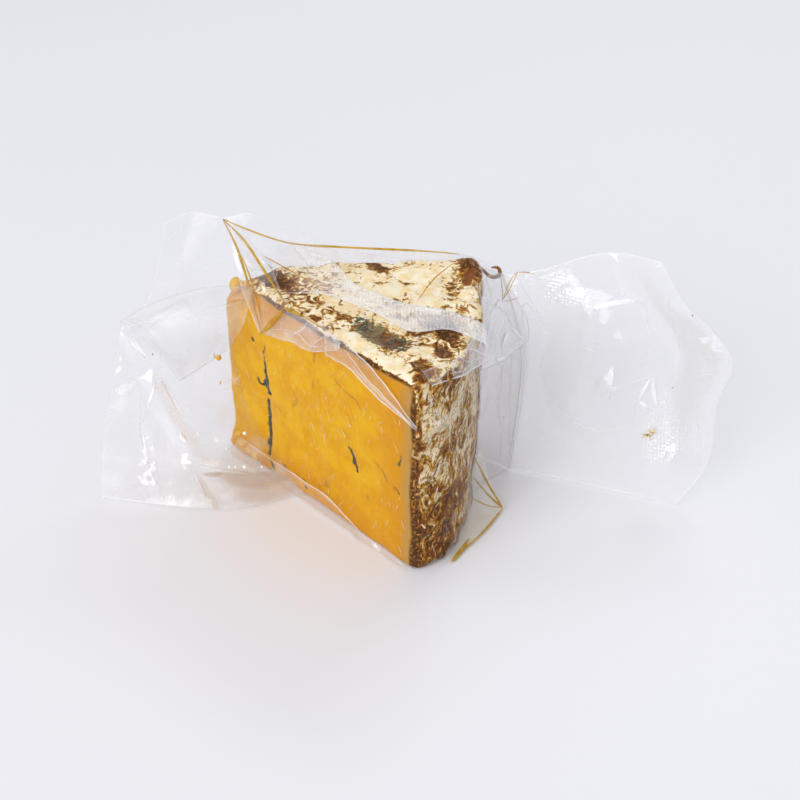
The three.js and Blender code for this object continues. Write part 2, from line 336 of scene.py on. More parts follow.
# Linear colours
ORANGE = (0.73, 0.39, 0.004)
DEEP_ORANGE = (0.60, 0.235, 0.004)
PALE_ORANGE = (0.78, 0.45, 0.015)
DARK_STAIN = (0.27, 0.115, 0.015)
TAN = (0.44, 0.27, 0.08)
CREAM = (0.90, 0.71, 0.39)
WHITE_BLOOM = (0.96, 0.86, 0.66)
OCHRE = (0.52, 0.25, 0.014)
PALE_OCHRE = (0.68, 0.40, 0.07)
BROWN = (0.100, 0.034, 0.007)
TAN_BROWN = (0.30, 0.15, 0.04)
RED_BROWN = (0.25, 0.070, 0.009)
DARK_BROWN = (0.035, 0.016, 0.008)
GREY_TAN = (0.44, 0.35, 0.24)
KHAKI = (0.25, 0.20, 0.095)
MOULD = (0.013, 0.014, 0.011)
MOULD_PALE = (0.125, 0.125, 0.075)
OIL = (0.52, 0.31, 0.015)
PALE_OIL = (0.74, 0.50, 0.06)
BROWN_OIL = (0.30, 0.13, 0.01)
# Whitish tones of the drops: painted highlights.
DROP_HIGHLIGHT_WHITE = (0.95, 0.93, 0.90)
DROP_HIGHLIGHT_CREAM = (0.90, 0.86, 0.78)
WHITE = (1.0, 1.0, 1.0)
MILK = (0.95, 0.95, 0.97)
FLOOR_GREY = (0.80, 0.80, 0.83)
FLOOR_PALE = (0.83, 0.83, 0.86)

# How the streaks of the side lean
STREAK_TURN = math.radians(-28.0)

# Share of the light that clear film lets through
CLEAR = (0.997, 0.997, 0.997)
CLEARER = (0.999, 0.999, 0.999)


def paste_colour(s, small):
    """Orange paste in cloudy tones, darker where it is stained and tan under the rind."""
    clouds = s.times(s.step(0.62, 0.38, s.noise(9.0, 4.0)), 0.45)
    paste = s.mix(clouds, ORANGE, DEEP_ORANGE)
    paste = s.mix(s.times(s.step(0.52, 0.72, small), 0.5), paste, PALE_ORANGE)
    for field, colour in (("deep", DEEP_ORANGE), ("stain", DARK_STAIN), ("tan", TAN)):
        paste = s.mix(s.field(field), paste, colour)
    return paste


def rind_patches(s):
    """How brown the rind is: lumps on top and streaks on the side, pushed by the brown field."""
    lumps = s.noise(3.4, 5.0, 0.58, 1.3)
    streaks = s.noise(3.1, 6.0, 0.66, 1.4, (1.0, 1.0, 2.3), STREAK_TURN)
    mottle = s.add("ShaderNodeMix", {0: s.field("side"), 2: lumps, 3: streaks}).outputs[0]
    return s.math("ADD", mottle, s.times(s.off_middle(s.field("brown")), 0.40))


def rind_flecks_and_cleft_shade(s, patch):
    """Dark flecks at the rims of the ochre patches, thin crooked lines, and dark lines in the clefts of the
    side: partly the rind's colour, partly painted shade, drawn from noise rather than the mesh's crags.
    """
    ring = s.times(s.step(0.488, 0.500, patch), s.step(0.525, 0.508, patch))
    flecks = s.times(ring, s.step(0.46, 0.54, s.noise(1.5, 2.0)))
    worms = s.math("ABSOLUTE", s.off_middle(s.noise(3.2, 3.0, 0.6, 0.8)))
    worms = s.times(s.step(0.016, 0.005, worms), s.step(0.44, 0.48, patch))
    # Painted shade in clefts of the side rind, partly dark rind.
    cleft_shade = s.math("ABSOLUTE", s.off_middle(s.noise(3.4, 4.0, 0.6, 1.2, (1.0, 1.0, 2.2), STREAK_TURN)))
    cleft_shade = s.times(s.times(s.step(0.022, 0.004, cleft_shade), s.field("side")), 0.8)
    return s.math("MAXIMUM", s.math("MAXIMUM", flecks, worms), cleft_shade)


def rind_colour(s, patch):
    """White bloom, then ochre, khaki, red brown and brown crust where the rind is browner and browner."""
    rind = s.mix(s.step(0.35, 0.65, s.noise(4.0, 4.0)), CREAM, WHITE_BLOOM)
    rind = s.mix(s.times(s.field("side"), 0.34), rind, GREY_TAN)
    ochre = s.mix(s.step(0.42, 0.6, s.noise(2.0, 3.0)), PALE_OCHRE, OCHRE)
    rind = s.mix(s.step(0.484, 0.502, patch), rind, ochre)
    spots = s.times(s.step(0.575, 0.60, s.noise(2.4, 2.5, 0.5, 0.6)), s.step(0.44, 0.465, patch))
    rind = s.mix(s.times(spots, 0.9), rind, OCHRE)
    hollow = s.math("ADD", s.field("crater"), s.times(s.off_middle(s.noise(2.2, 4.0)), 1.2))
    hollow = s.times(s.step(0.34, 0.50, hollow), s.step(0.05, 0.2, s.field("crater")))
    rind = s.mix(hollow, rind, KHAKI)
    rind = s.mix(s.step(0.545, 0.570, patch), rind, RED_BROWN)
    crust = s.mix(s.step(0.52, 0.60, s.noise(1.3, 4.0)), BROWN, TAN_BROWN)
    rind = s.mix(s.step(0.60, 0.64, patch), rind, crust)
    rind = s.mix(s.times(rind_flecks_and_cleft_shade(s, patch), 0.9), rind, DARK_BROWN)
    return s.mix(s.times(s.field("amber"), 0.85), rind, RED_BROWN)


def cheese_material():
    s = Shader("cheese")
    small = s.noise(1.6, 4.0)
    grain = s.noise(0.5, 2.0)
    patch = rind_patches(s)
    colour = s.mix(s.field("rind"), paste_colour(s, small), rind_colour(s, patch))
    mould = s.mix(s.step(0.45, 0.64, small), MOULD, MOULD_PALE)
    torn = s.math("ADD", s.field("mould"), s.times(s.off_middle(s.noise(1.6, 4.0)), 1.3))
    torn = s.times(s.step(0.42, 0.56, torn), s.step(0.02, 0.12, s.field("mould")))
    colour = s.mix(torn, colour, mould)
    roughness = s.math("ADD", 0.38, s.times(s.field("rind"), 0.2))
    normal = s.bump(small, 0.6, 0.4)
    normal = s.bump(patch, s.times(s.field("rind"), -0.9), 1.5, normal)
    normal = s.bump(grain, 0.4, 0.2, normal)
    return s.finish(s.solid(colour, roughness, {
        "Normal": normal, "Specular IOR Level": 0.06,
        "Subsurface Weight": 0.15, "Subsurface Radius": (1.0, 0.45, 0.12), "Subsurface Scale": 0.003,
    }))


def film_material(name, haze=0.012, cloud=0.09, roughness=0.06, base=0.045, slope=0.8, tint=CLEAR, emboss=0.0,
                  ripple=0.22, fading=False):
    """Clear film: what is behind shows through, with a reflection on top and some milky clouding."""
    s = Shader(name)
    normal = s.bump(s.noise(5.0, 3.0, 0.5), ripple, 0.6)
    if emboss:
        inputs = {"Vector": s.place(), "Scale": 1.0 / (emboss * MM), "Randomness": 0.2}
        dots = s.add("ShaderNodeTexVoronoi", inputs).outputs["Distance"]
        normal = s.bump(dots, 1.0, 0.3, normal)
    see = s.clear(s.mix(s.field("fade"), WHITE, tint) if fading else tint)
    milk = s.solid(MILK, 0.35, {"Normal": normal})
    haze = s.math("ADD", haze, s.times(s.step(0.48, 0.75, s.noise(16.0, 5.0, 0.6, 0.8)), cloud))
    # Milkier near a sheet's rim: a painted highlight along its edges.
    haze = s.math("ADD", haze, s.times(s.field("rim"), 0.06))
    if emboss:
        haze = s.times(haze, s.math("ADD", 0.55, s.step(0.2, 0.55, dots)))
    inputs = {"Color": WHITE, "Roughness": roughness, "Normal": normal}
    shine = s.add("ShaderNodeBsdfGlossy", inputs).outputs[0]
    slant = s.add("ShaderNodeLayerWeight", {"Blend": 0.5, "Normal": normal}).outputs["Facing"]
    share = s.math("ADD", base, s.times(s.math("POWER", slant, 5.0), slope))
    if fading:
        haze = s.times(haze, s.field("fade"))
        share = s.times(share, s.field("fade"))
    return s.finish(s.blend(share, s.blend(haze, see, milk), shine))


# The kinds of film: how milky it is, how cloudy, how sharp and how strong its reflections are, and its tint.
FILMS = {
    "plain": dict(cloud=0.11, tint=CLEARER),
    "soft": dict(haze=0.02, roughness=0.2, base=0.025),
    "frosted": dict(haze=0.03, roughness=0.3, base=0.015, tint=(0.955, 0.955, 0.955)),
    "milky": dict(haze=0.08, cloud=0.12, roughness=0.1),
    "cloudy": dict(haze=0.02, cloud=0.2, roughness=0.13, base=0.04, ripple=0.35),
    "embossed": dict(haze=0.2, roughness=0.12, emboss=1.3, fading=True),
    "bumpy": dict(haze=0.09, roughness=0.08, base=0.06, emboss=1.4, fading=True),
    "amber": dict(haze=0.01, cloud=0.08, tint=(0.995, 0.985, 0.945)),
    "clear": dict(haze=0.0, cloud=0.02, base=0.03),
    "grey": dict(haze=0.02, cloud=0.10, roughness=0.1, tint=(0.986, 0.986, 0.987)),
    "beige": dict(haze=0.02, cloud=0.06, base=0.01, tint=(0.972, 0.968, 0.955), fading=True),
    # Brownish and tan tints that paint reflections of the cheese and a streak of shade in the pocket.
    "brownish": dict(haze=0.0, cloud=0.02, base=0.05, tint=(0.92, 0.86, 0.80), fading=True),
    "tan": dict(haze=0.0, cloud=0.02, base=0.02, tint=(0.965, 0.935, 0.905), fading=True),
    # Milky white patches that paint highlights onto the film.
    "glint": dict(haze=0.85, cloud=0.1, roughness=0.2, base=0.12, fading=True),
    "pale": dict(haze=0.2, cloud=0.35, roughness=0.12),
    # Warm, darker tint for hems: a painted reflection of the cheese along a film edge.
    "edge": dict(haze=0.2, roughness=0.2, base=0.05, tint=(0.86, 0.82, 0.75)),
    # Milky white, for folds that catch the light: partly a painted highlight.
    "bright": dict(haze=0.5, cloud=0.3, roughness=0.2, base=0.08),
    "flap": dict(haze=0.09, cloud=0.05, base=0.03, tint=CLEARER),
    "line": dict(haze=0.22, cloud=0.3, roughness=0.2, base=0.05, tint=(0.975, 0.975, 0.97)),
    "skin": dict(haze=0.0, cloud=0.0, roughness=0.08, base=0.009, slope=0.35, ripple=0.35),
}


def oil_material():
    s = Shader("oil")
    tone = s.mix(s.step(0.35, 0.65, s.noise(4.0, 2.0)), OIL, PALE_OIL)
    return s.finish(s.blend(0.45, s.clear((0.92, 0.74, 0.28)), s.solid(tone, 0.12)))


def curl_material():
    s = Shader("brown_oil")
    return s.finish(s.blend(0.65, s.clear((0.80, 0.50, 0.10)), s.solid(BROWN_OIL, 0.15)))


# The cheese

# The blue veins of the front face: points as x and z, half width and strength.
VEINS = [
    ([(-50.1, 66.0), (-50.5, 57.5), (-50.5, 53.4)], 0.45, 0.75),
    ([(-50.5, 55.0), (-50.5, 50.0), (-50.2, 46.8), (-49.5, 42.6), (-49.5, 40.8)], 1.35, 1.0),
    ([(-50.3, 46.0), (-52.2, 43.4), (-53.6, 43.9), (-54.3, 46.0)], 0.75, 0.95),
    ([(-50.0, 37.6), (-50.0, 32.9), (-49.9, 27.8), (-49.8, 22.8), (-50.1, 17.2), (-50.9, 13.0), (-51.4, 8.8)],
     1.4, 1.0),
    ([(-51.1, 6.4), (-49.8, 4.1), (-49.0, 1.5)], 0.9, 0.9),
    ([(-15.8, 39.9), (-14.9, 38.4), (-14.2, 36.0), (-13.8, 33.9), (-13.0, 32.5), (-12.6, 30.8)], 1.05, 0.95),
    ([(3.6, 52.7), (3.8, 49.8), (3.6, 47.6)], 0.5, 0.8),
    ([(1.4, 36.4), (4.0, 34.0)], 0.55, 0.75),
]

# Spots of mould, brown cracks and brown stains there: spots and stains are x, z and size.
VEIN_SPOTS = [
    (-55.2, 64.2, 1.2), (-44.1, 8.3, 0.9), (-35.2, 8.0, 0.9), (-34.9, 4.6, 0.8), (-30.7, 12.1, 0.6),
]
CRACKS = [
    [(-22.0, 70.0), (-16.6, 66.5), (-12.7, 65.7), (-10.9, 62.5), (-8.3, 56.5)],
    [(-47.3, 51.8), (-44.0, 55.0), (-41.9, 54.7), (-38.6, 52.0), (-36.5, 47.5), (-39.0, 43.0)],
    [(-46.5, 38.0), (-44.0, 36.0), (-43.5, 33.5)],
    [(-9.0, 44.0), (-3.0, 40.5), (-1.0, 36.0)],
    [(-28.8, 77.0), (-28.8, 68.0), (-29.6, 58.8)],
]
STAINS = [(-25.5, 13.4, 4.0), (-22.2, 11.5, 3.0), (-30.0, 10.5, 4.0), (-8.0, 22.0, 3.0), (1.5, 35.0, 2.5)]

# Places on the top rind: x, y, half length, half width, turn in degrees, and how much browner.
TOP_PATCHES = [
    (-43.0, 17.0, 16.0, 7.0, -46, 0.62),
    (-27.0, 0.5, 12.0, 4.5, -45, 0.42),
    (-17.5, -9.5, 6.0, 4.0, -45, 0.25),
    (-4.5, 27.0, 6.5, 4.5, -30, 0.62),
    (-20.0, 28.0, 8.0, 2.5, 5, 0.30),
    (2.0, 16.0, 8.5, 1.6, -4, 0.36),
    (31.5, 24.0, 15.0, 6.5, -84, 0.95),
    (24.0, 14.0, 13.0, 3.0, -88, 0.46),
    (22.0, -20.0, 12.0, 5.6, -62, 0.95),
    (19.0, -33.0, 8.0, 4.4, -80, 0.70),
    (11.5, -45.0, 10.0, 6.0, -75, 0.85),
    (2.1, 3.5, 3.0, 1.8, -20, 0.36),
    (10.3, -20.5, 3.0, 2.0, 10, 0.32),
    (13.1, -27.2, 2.6, 1.8, 10, 0.30),
    (3.2, -8.8, 5.5, 2.2, -30, 0.30),
    (8.0, 22.0, 14.0, 6.0, 10, -0.5),
    (15.0, 8.0, 9.0, 12.0, 0, -0.5),
    (-2.0, 8.0, 9.0, 5.0, 10, -0.32),
    (2.0, -40.0, 13.0, 3.2, -48, -0.42),
    (-10.0, -28.0, 10.0, 3.0, -45, -0.36),
    (6.0, -15.0, 4.0, 5.0, -45, -0.30),
]

# The crater, the amber corners and the hump on top, given the same way, and the blue in the crater, which
# has its strength last.
CRATER = (-3.4, -21.0, 13.0, 6.4, -46)
BACK_AMBER = (32.0, 25.0, 15.0, 6.0, -84)
FRONT_AMBER = (14.5, -47.0, 7.0, 4.0, 20)
HUMP = (32.0, 26.0, 12.0, 5.0, -84)
CRATER_FLECKS = [
    (-10.0, -13.5, 5.5, 4.6, -46, 0.50),
    (3.2, -27.0, 6.0, 4.8, -46, 0.52),
    (-3.4, -21.0, 10.0, 4.0, -46, 0.38),
]

# Spots on the side rind: y, z, half width and half height.
BROWN_SPOT = (1.0, 42.0, 5.0, 8.0)
BLUE_SPOT = (22.0, 48.0, 8.0, 12.0)

# How brown the rind is where it is cut
CUT_BROWN = 1.1


def patch_distance(x, y, patch):
    """Distance from an ellipse's middle: 1 is on its edge."""
    middle_x, middle_y, half_x, half_y, turn = patch
    c, s = math.cos(math.radians(turn)), math.sin(math.radians(turn))
    along = (x - middle_x) * c + (y - middle_y) * s
    across = -(x - middle_x) * s + (y - middle_y) * c
    return np.hypot(along / half_x, across / half_y)


def side_spot(y, z, spot):
    """1 in the middle of a spot on the side rind and 0 outside it."""
    middle_y, middle_z, half_y, half_z = spot
    return bump(np.hypot((y - middle_y) / half_y, (z - middle_z) / half_z))


def face_fields(p, n):
    """Which vertices are on the rind, the paste under it and the front face."""
    plan, z = p[:, :2], p[:, 2]
    wander = rough(p, 9.0, 3, 5)
    rind_near, rind_along = line_distance(plan, curve(RIND_POINTS, np.linspace(0.0, 1.0, 70)))
    radial = plan - TIP
    radial /= np.linalg.norm(radial, axis=1)[:, None]
    outward = (n[:, :2] * radial).sum(1)
    on_side = smooth(0.35, 0.62, outward) * smooth(14.0, 6.0, rind_near)
    on_top = smooth(0.45, 0.75, n[:, 2]) * smooth(HEIGHT - 12.0, HEIGHT - 6.0, z)
    skin = np.maximum(on_side, on_top)
    below_top = np.maximum(HEIGHT - 1.0 - z, 0.0)
    depth = np.minimum(below_top, 0.7 * rind_near) + 0.7 * wander
    rind = np.maximum(skin, smooth(RIND_THICK + 0.35, RIND_THICK - 0.35, depth))
    side_tan = 0.8 * smooth(8.5, 3.5, rind_near + 2.5 * wander)
    top_tan = 0.35 * smooth(4.0, 1.5, below_top + 0.8 * wander)
    deep = 0.8 * smooth(28.0, 4.0, np.minimum(rind_near, 1.6 * below_top + 3.0) + 3.0 * wander)
    deep = np.maximum(deep, 0.65 * smooth(28.0, 0.0, z + 4.0 * wander))
    deep = np.maximum(deep, 0.45 * smooth(0.3, 0.8, n[:, 1]))
    return {
        "on_side": on_side, "on_top": on_top, "skin": skin, "side": on_side * (1.0 - on_top), "rind": rind,
        "tan": np.maximum(side_tan, top_tan) * (1.0 - skin), "deep": deep, "rind_along": rind_along,
        "on_front": smooth(5.0, 3.0, (plan - TIP) @ FRONT_WAY) * (1.0 - rind),
    }


def rind_fields(p, faces):
    """How brown each place of the rind is, its amber corners, its crater and its hump."""
    x, y, z = p.T
    on_side, on_top, rind_along = faces["on_side"], faces["on_top"], faces["rind_along"]
    brown = 0.36 + 0.40 * rough(p, 11.0, 3, 31)
    for *patch, amount in TOP_PATCHES:
        brown += on_top * amount * bump(0.8 * patch_distance(x, y, patch))
    side_brown = 0.14 + 0.24 * smooth(60.0, 8.0, z) + 0.22 * smooth(0.04, 0.015, rind_along)
    side_brown += 0.2 * smooth(HEIGHT - 14.0, HEIGHT - 3.0, z) * smooth(0.5, 0.1, rind_along)
    brown += on_side * (1.0 - on_top) * side_brown
    brown = np.where(faces["skin"] < 0.5, CUT_BROWN, brown)
    amber = on_top * bump(0.75 * patch_distance(x, y, BACK_AMBER))
    amber = np.maximum(amber, on_top * bump(0.9 * patch_distance(x, y, FRONT_AMBER)))
    crater = bump(0.62 * patch_distance(x, y, CRATER)) * on_top
    brown = brown + 0.36 * crater
    brown += 0.9 * on_side * side_spot(y, z, BROWN_SPOT)
    return {
        "brown": brown, "crater": crater, "amber": amber * smooth(-0.1, 0.3, rough(p, 5.0, 2, 8)),
        "hump": on_top * bump(0.8 * patch_distance(x, y, HUMP)) * (0.75 + 0.5 * rough(p, 6.0, 2, 21)),
    }


def mould_fields(p, faces):
    """The blue veins and brown stains of the front face, and the blue in the crater and on the side."""
    x, y, z = p.T
    ragged = np.stack([x, z], 1) + 0.9 * np.stack([rough(p, 3.0, 3, 61), rough(p, 3.0, 3, 62)], 1)
    mould = np.zeros(len(p))
    for points, width, strength in VEINS:
        near, along = line_distance(ragged, points)
        swell = 0.55 + 0.9 * np.sin(np.pi * np.clip(along, 0.06, 0.94))
        width = width * (0.75 + 0.5 * rough(p, 5.0, 2, 63)) * swell
        mould = np.maximum(mould, 0.72 * strength * smooth(width + 0.5, width * 0.35, near))
    for spot_x, spot_z, size in VEIN_SPOTS:
        near = np.hypot(ragged[:, 0] - spot_x, ragged[:, 1] - spot_z)
        mould = np.maximum(mould, 0.9 * smooth(size, size * 0.4, near))
    mould *= faces["on_front"]
    stain = np.zeros(len(p))
    for points in CRACKS:
        near = line_distance(ragged, points)[0]
        stain = np.maximum(stain, 0.6 * smooth(0.8, 0.1, near) * smooth(-0.35, 0.45, rough(p, 3.0, 2, 64)))
    for spot_x, spot_z, size in STAINS:
        near = np.hypot(ragged[:, 0] - spot_x, 1.3 * (ragged[:, 1] - spot_z)) / size
        stain = np.maximum(stain, 0.55 * bump(near) * smooth(-0.2, 0.5, rough(p, 2.2, 2, 65)))
    for *patch, amount in CRATER_FLECKS:
        mould = np.maximum(mould, amount * faces["on_top"] * smooth(1.5, 0.7, patch_distance(x, y, patch)))
    side_blue = faces["on_side"] * side_spot(y, z, BLUE_SPOT)
    return {"mould": np.maximum(mould, 0.62 * side_blue), "stain": stain * faces["on_front"]}


def cheese_fields(p, n):
    """Where the faces, the veins and the patches of rind are, as numbers for each vertex."""
    faces = face_fields(p, n)
    return {**faces, **rind_fields(p, faces), **mould_fields(p, faces)}


def cheese_relief(p, fields):
    """How far each vertex moves out along its normal."""
    streaks = np.stack([p[:, 0], 0.35 * (p[:, 1] + p[:, 2]), 1.1 * (p[:, 2] - p[:, 1])], 1)
    crags = 1.3 * rough(streaks, 6.0, 4, 11) * fields["on_side"]
    crags += 0.6 * rough(p, 5.5, 4, 12) * fields["on_top"]
    crags -= 0.35 * np.abs(rough(p, 3.0, 3, 13)) * fields["skin"]
    paste = (1.0 - fields["skin"]) * (0.34 * rough(p, 8.0, 3, 14) + 0.16 * rough(p, 2.8, 2, 15))
    cuts = 0.75 * fields["mould"] * fields["on_front"] + 0.4 * fields["stain"]
    return crags + paste - cuts - 1.6 * fields["crater"] + 2.4 * fields["hump"]


def remeshed(name, source, voxel, smoothing):
    """A copy of a mesh, remade with even faces of a size in millimetres and smoothed."""
    obj = add_object(name, source.copy())
    return baked(obj, ("REMESH", {"mode": "VOXEL", "voxel_size": voxel * MM}),
                 ("SMOOTH", {"factor": 0.5, "iterations": smoothing}))


def make_cheese():
    obj = remeshed("cheese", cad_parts["cheese_wedge"].data, 0.72, 6)
    mesh = obj.data
    p, n = get_points(mesh), get_normals(mesh)
    fields = cheese_fields(p, n)
    moved = p + n * cheese_relief(p, fields)[:, None]
    moved[:, 2] = np.maximum(moved[:, 2], 0.0)
    set_points(mesh, moved)
    for name in ("rind", "tan", "deep", "brown", "amber", "mould", "stain", "side", "crater"):
        set_field(mesh, name, fields[name])
    return dressed(obj, cheese_material())


# The bag

def spot_distance(uv, centre, reach_u, reach_v):
    """Distance from the middle of an oval on a sheet: 1 is on its edge."""
    return np.hypot((uv[:, 0] - centre[0]) / reach_u, (uv[:, 1] - centre[1]) / reach_v)


def sheet_edges(spec):
    """The four edges of a sheet of film: left and right run between the ends of bottom and top."""
    bottom, top = spec["bottom"], spec["top"]
    return {
        "bottom": bottom,
        "top": top,
        "left": [bottom[0], *spec.get("left", ()), top[0]],
        "right": [bottom[-1], *spec.get("right", ()), top[-1]],
    }


def sheet_points(edges, columns, rows):
    """Middle surface of a sheet of film between its four edges."""
    u, v = np.linspace(0.0, 1.0, columns + 1), np.linspace(0.0, 1.0, rows + 1)
    low, high = curve(edges["bottom"], u), curve(edges["top"], u)
    first, last = curve(edges["left"], v), curve(edges["right"], v)
    u, v = u[None, :, None], v[:, None, None]
    grid = low[None] * (1 - v) + high[None] * v + first[:, None] * (1 - u) + last[:, None] * u
    corners = low[0] * (1 - u) * (1 - v) + low[-1] * u * (1 - v) + high[0] * (1 - u) * v + high[-1] * u * v
    return grid - corners


def grid_normals(grid, facing):
    du = np.gradient(grid, axis=1)
    dv = np.gradient(grid, axis=0)
    normal = np.cross(du, dv)
    normal /= np.linalg.norm(normal, axis=2)[..., None] + 1e-9
    sign = np.sign((normal * np.asarray(facing)).sum(2)[..., None])
    sign[sign == 0] = 1.0
    return normal * sign


def crease_lift(q, seed, count, height, width):
    """Straight creases in many directions: each is a tent along a line, so the film between stays flat."""
    lift = np.zeros(len(q))
    low, span = q.min(0), np.ptp(q, axis=0)
    for i in range(count):
        r = fixed_draws(6, i, 5, seed)
        turn = math.pi * r[2]
        away = q - (low + span * (0.5 + 0.5 * np.array(r[:2])))
        across = np.abs(away @ np.array([-math.sin(turn), math.cos(turn)]))
        along = np.abs(away @ np.array([math.cos(turn), math.sin(turn)]))
        tent = np.maximum(0.0, 1.0 - across / (width * (1.0 + 0.5 * r[3])))
        reach = (0.35 + 0.2 * r[4]) * span.max()
        lift += height * (0.6 + 0.4 * r[5]) * (-1) ** i * tent * bump(along / reach)
    return lift


def sheet_lift(spec, q, p, uv):
    """Crumples and folds that both layers of a sheet share, in millimetres along its normal."""
    seed = spec["seed"]
    lift = np.zeros(len(q))
    for *spot, height in spec.get("crinkles", ()):
        lift += height * np.abs(rough(p, 8.0, 3, seed + 31)) * bump(spot_distance(uv, *spot))
    for size, height in spec.get("waves", ()):
        lift += height * rough(p, size, 2, seed + 7)
    for count, height, width in spec.get("creases", ()):
        lift += crease_lift(q, seed + count, count, height, width)
    for start, end, height, width in spec.get("folds", ()):
        lift += height * np.maximum(0.0, 1.0 - line_distance(uv, [start, end])[0] / width)
    for centre, reach, spokes, height in spec.get("stars", ()):
        away = uv - np.asarray(centre)
        far = np.hypot(*away.T) / reach
        turn = np.arctan2(away[:, 1], away[:, 0]) / (2.0 * np.pi) * spokes
        lift += height * np.abs((turn + 0.13 * seed) % 1.0 - 0.5) * far * bump(far)
    for *spot, height in spec.get("puffs", ()):
        lift += height * bump(spot_distance(uv, *spot))
    return lift


def along_points(grid, path):
    """The places on a sheet's front layer of points given as u and v."""
    path = np.asarray(path, float)
    rows, columns = grid.shape[0] - 1, grid.shape[1] - 1
    column, row = np.clip(path[:, 0], 0, 1) * columns, np.clip(path[:, 1], 0, 1) * rows
    i, j = np.minimum(column.astype(int), columns - 1), np.minimum(row.astype(int), rows - 1)
    fu, fv = (column - i)[:, None], (row - j)[:, None]
    low = grid[j, i] * (1 - fu) + grid[j, i + 1] * fu
    high = grid[j + 1, i] * (1 - fu) + grid[j + 1, i + 1] * fu
    return low * (1 - fv) + high * fv


def along_sheet(grid, route):
    """Points on a sheet's front layer along a smooth route given as u and v."""
    count = max(9, round(line_length(route) * 90))
    points = along_points(grid, curve(route, np.linspace(0.0, 1.0, count)))
    for _ in range(4):
        points[1:-1] = 0.25 * (points[:-2] + 2.0 * points[1:-1] + points[2:])
    return points


# The two ends of each edge of a sheet, as u and v
SIDES = {
    "bottom": [(0, 0), (1, 0)],
    "top": [(0, 1), (1, 1)],
    "left": [(0, 0), (0, 1)],
    "right": [(1, 0), (1, 1)],
}


def lens_lift(spec, uv):
    """The pocket of air between the two layers of a sheet, in millimetres."""
    lift = np.zeros(len(uv))
    for *spot, height in spec.get("lens", ()):
        lift += height * np.maximum(0.0, 1.0 - spot_distance(uv, *spot) ** 2)
    return lift


def film_layers(spec, uv, middle, facing, q, inside):
    """The front and back layer of a sheet, which meet at its rim."""
    part = smooth(0.0, SEAL_WIDTH, inside)
    shared = sheet_lift(spec, q, middle, uv)
    lens = lens_lift(spec, uv)
    layers = []
    for side, share in ((1.0, 1.0), (-1.0, -0.2)):
        own = rough(middle + 40.0 * side, 26.0, 2, spec["seed"] + 90 + int(side))
        apart = side * (HALF_FILM + 0.5 * spec["gap"] * part)
        away = shared + spec.get("layer", 0.0) * part * own + apart + share * lens
        layer = middle + facing * away[:, None]
        layer[:, 2] = np.maximum(layer[:, 2], OFF_FLOOR + (LAYER_STEP if side > 0 else 0.0))
        layers.append(layer)
    return layers


def layer_faces(columns, rows):
    """Faces of a front layer, a back layer and the rim that joins them, and the number of the rim's first."""
    across, total = columns + 1, (columns + 1) * (rows + 1)
    index = np.arange(total).reshape(rows + 1, across)
    corners = (index[:-1, :-1], index[:-1, 1:], index[1:, 1:], index[1:, :-1])
    a, b, c, d = (corner.ravel().tolist() for corner in corners)
    faces = [*zip(a, b, c, d)]
    faces += [(total + i, total + m, total + k, total + j) for i, j, k, m in zip(a, b, c, d)]
    body = len(faces)
    rim = [*index[0, :-1], *index[:-1, -1], *index[-1, :0:-1], *index[:0:-1, 0]]
    rim = [int(i) for i in rim]
    for here, after in zip(rim, rim[1:] + rim[:1]):
        faces.append((here, total + here, total + after, after))
    return faces, body


def film_sheet(name, spec):
    """One closed sheet of film: two layers that meet at the rim, each with its own crumples."""
    step = SHEET_STEP * 1.0
    edges = sheet_edges(spec)
    length = {side: line_length(curve(points, np.linspace(0.0, 1.0, 60))) for side, points in edges.items()}
    width, height = max(length["bottom"], length["top"]), max(length["left"], length["right"])
    columns, rows = max(4, round(width / step)), max(3, round(height / step))
    middle = sheet_points(edges, columns, rows)
    facing = grid_normals(middle, spec["facing"]).reshape(-1, 3)
    middle = middle.reshape(-1, 3)
    u, v = np.meshgrid(np.linspace(0, 1, columns + 1), np.linspace(0, 1, rows + 1))
    uv = np.stack([u.ravel(), v.ravel()], 1)
    inside = (np.minimum(uv, 1 - uv) * (width, height)).min(1)
    layers = film_layers(spec, uv, middle, facing, uv * (width, height), inside)
    obj = mesh_from(name, np.vstack(layers), *layer_faces(columns, rows))
    # Near the rim, where the film is painted milkier as a highlight along its edges.
    rim = smooth(2.4, 0.2, inside + 0.6 * noise(middle, 12.0, spec["seed"]))
    fade = smooth(0.0, spec.get("fade", 0.01), uv[:, 0])
    set_field(obj.data, "fade", np.tile(fade, 2))
    set_field(obj.data, "rim", np.tile(rim, 2))
    return obj, layers[0].reshape(rows + 1, columns + 1, 3)


def disc_faces(rings, spokes, total):
    """Faces of a front disc of rings and spokes, the same disc at the back and the rim between them."""
    faces = []
    outer = 1 + (rings - 1) * spokes
    for spoke in range(spokes):
        after = (spoke + 1) % spokes
        faces.append((0, 1 + spoke, 1 + after))
        faces.append((total, total + 1 + after, total + 1 + spoke))
        for ring in range(rings - 1):
            a, b = 1 + ring * spokes + spoke, 1 + ring * spokes + after
            c, d = b + spokes, a + spokes
            faces.append((a, d, c, b))
            faces.append((total + a, total + b, total + c, total + d))
    for spoke in range(spokes):
        a, b = outer + spoke, outer + (spoke + 1) % spokes
        faces.append((a, total + a, total + b, b))
    return faces


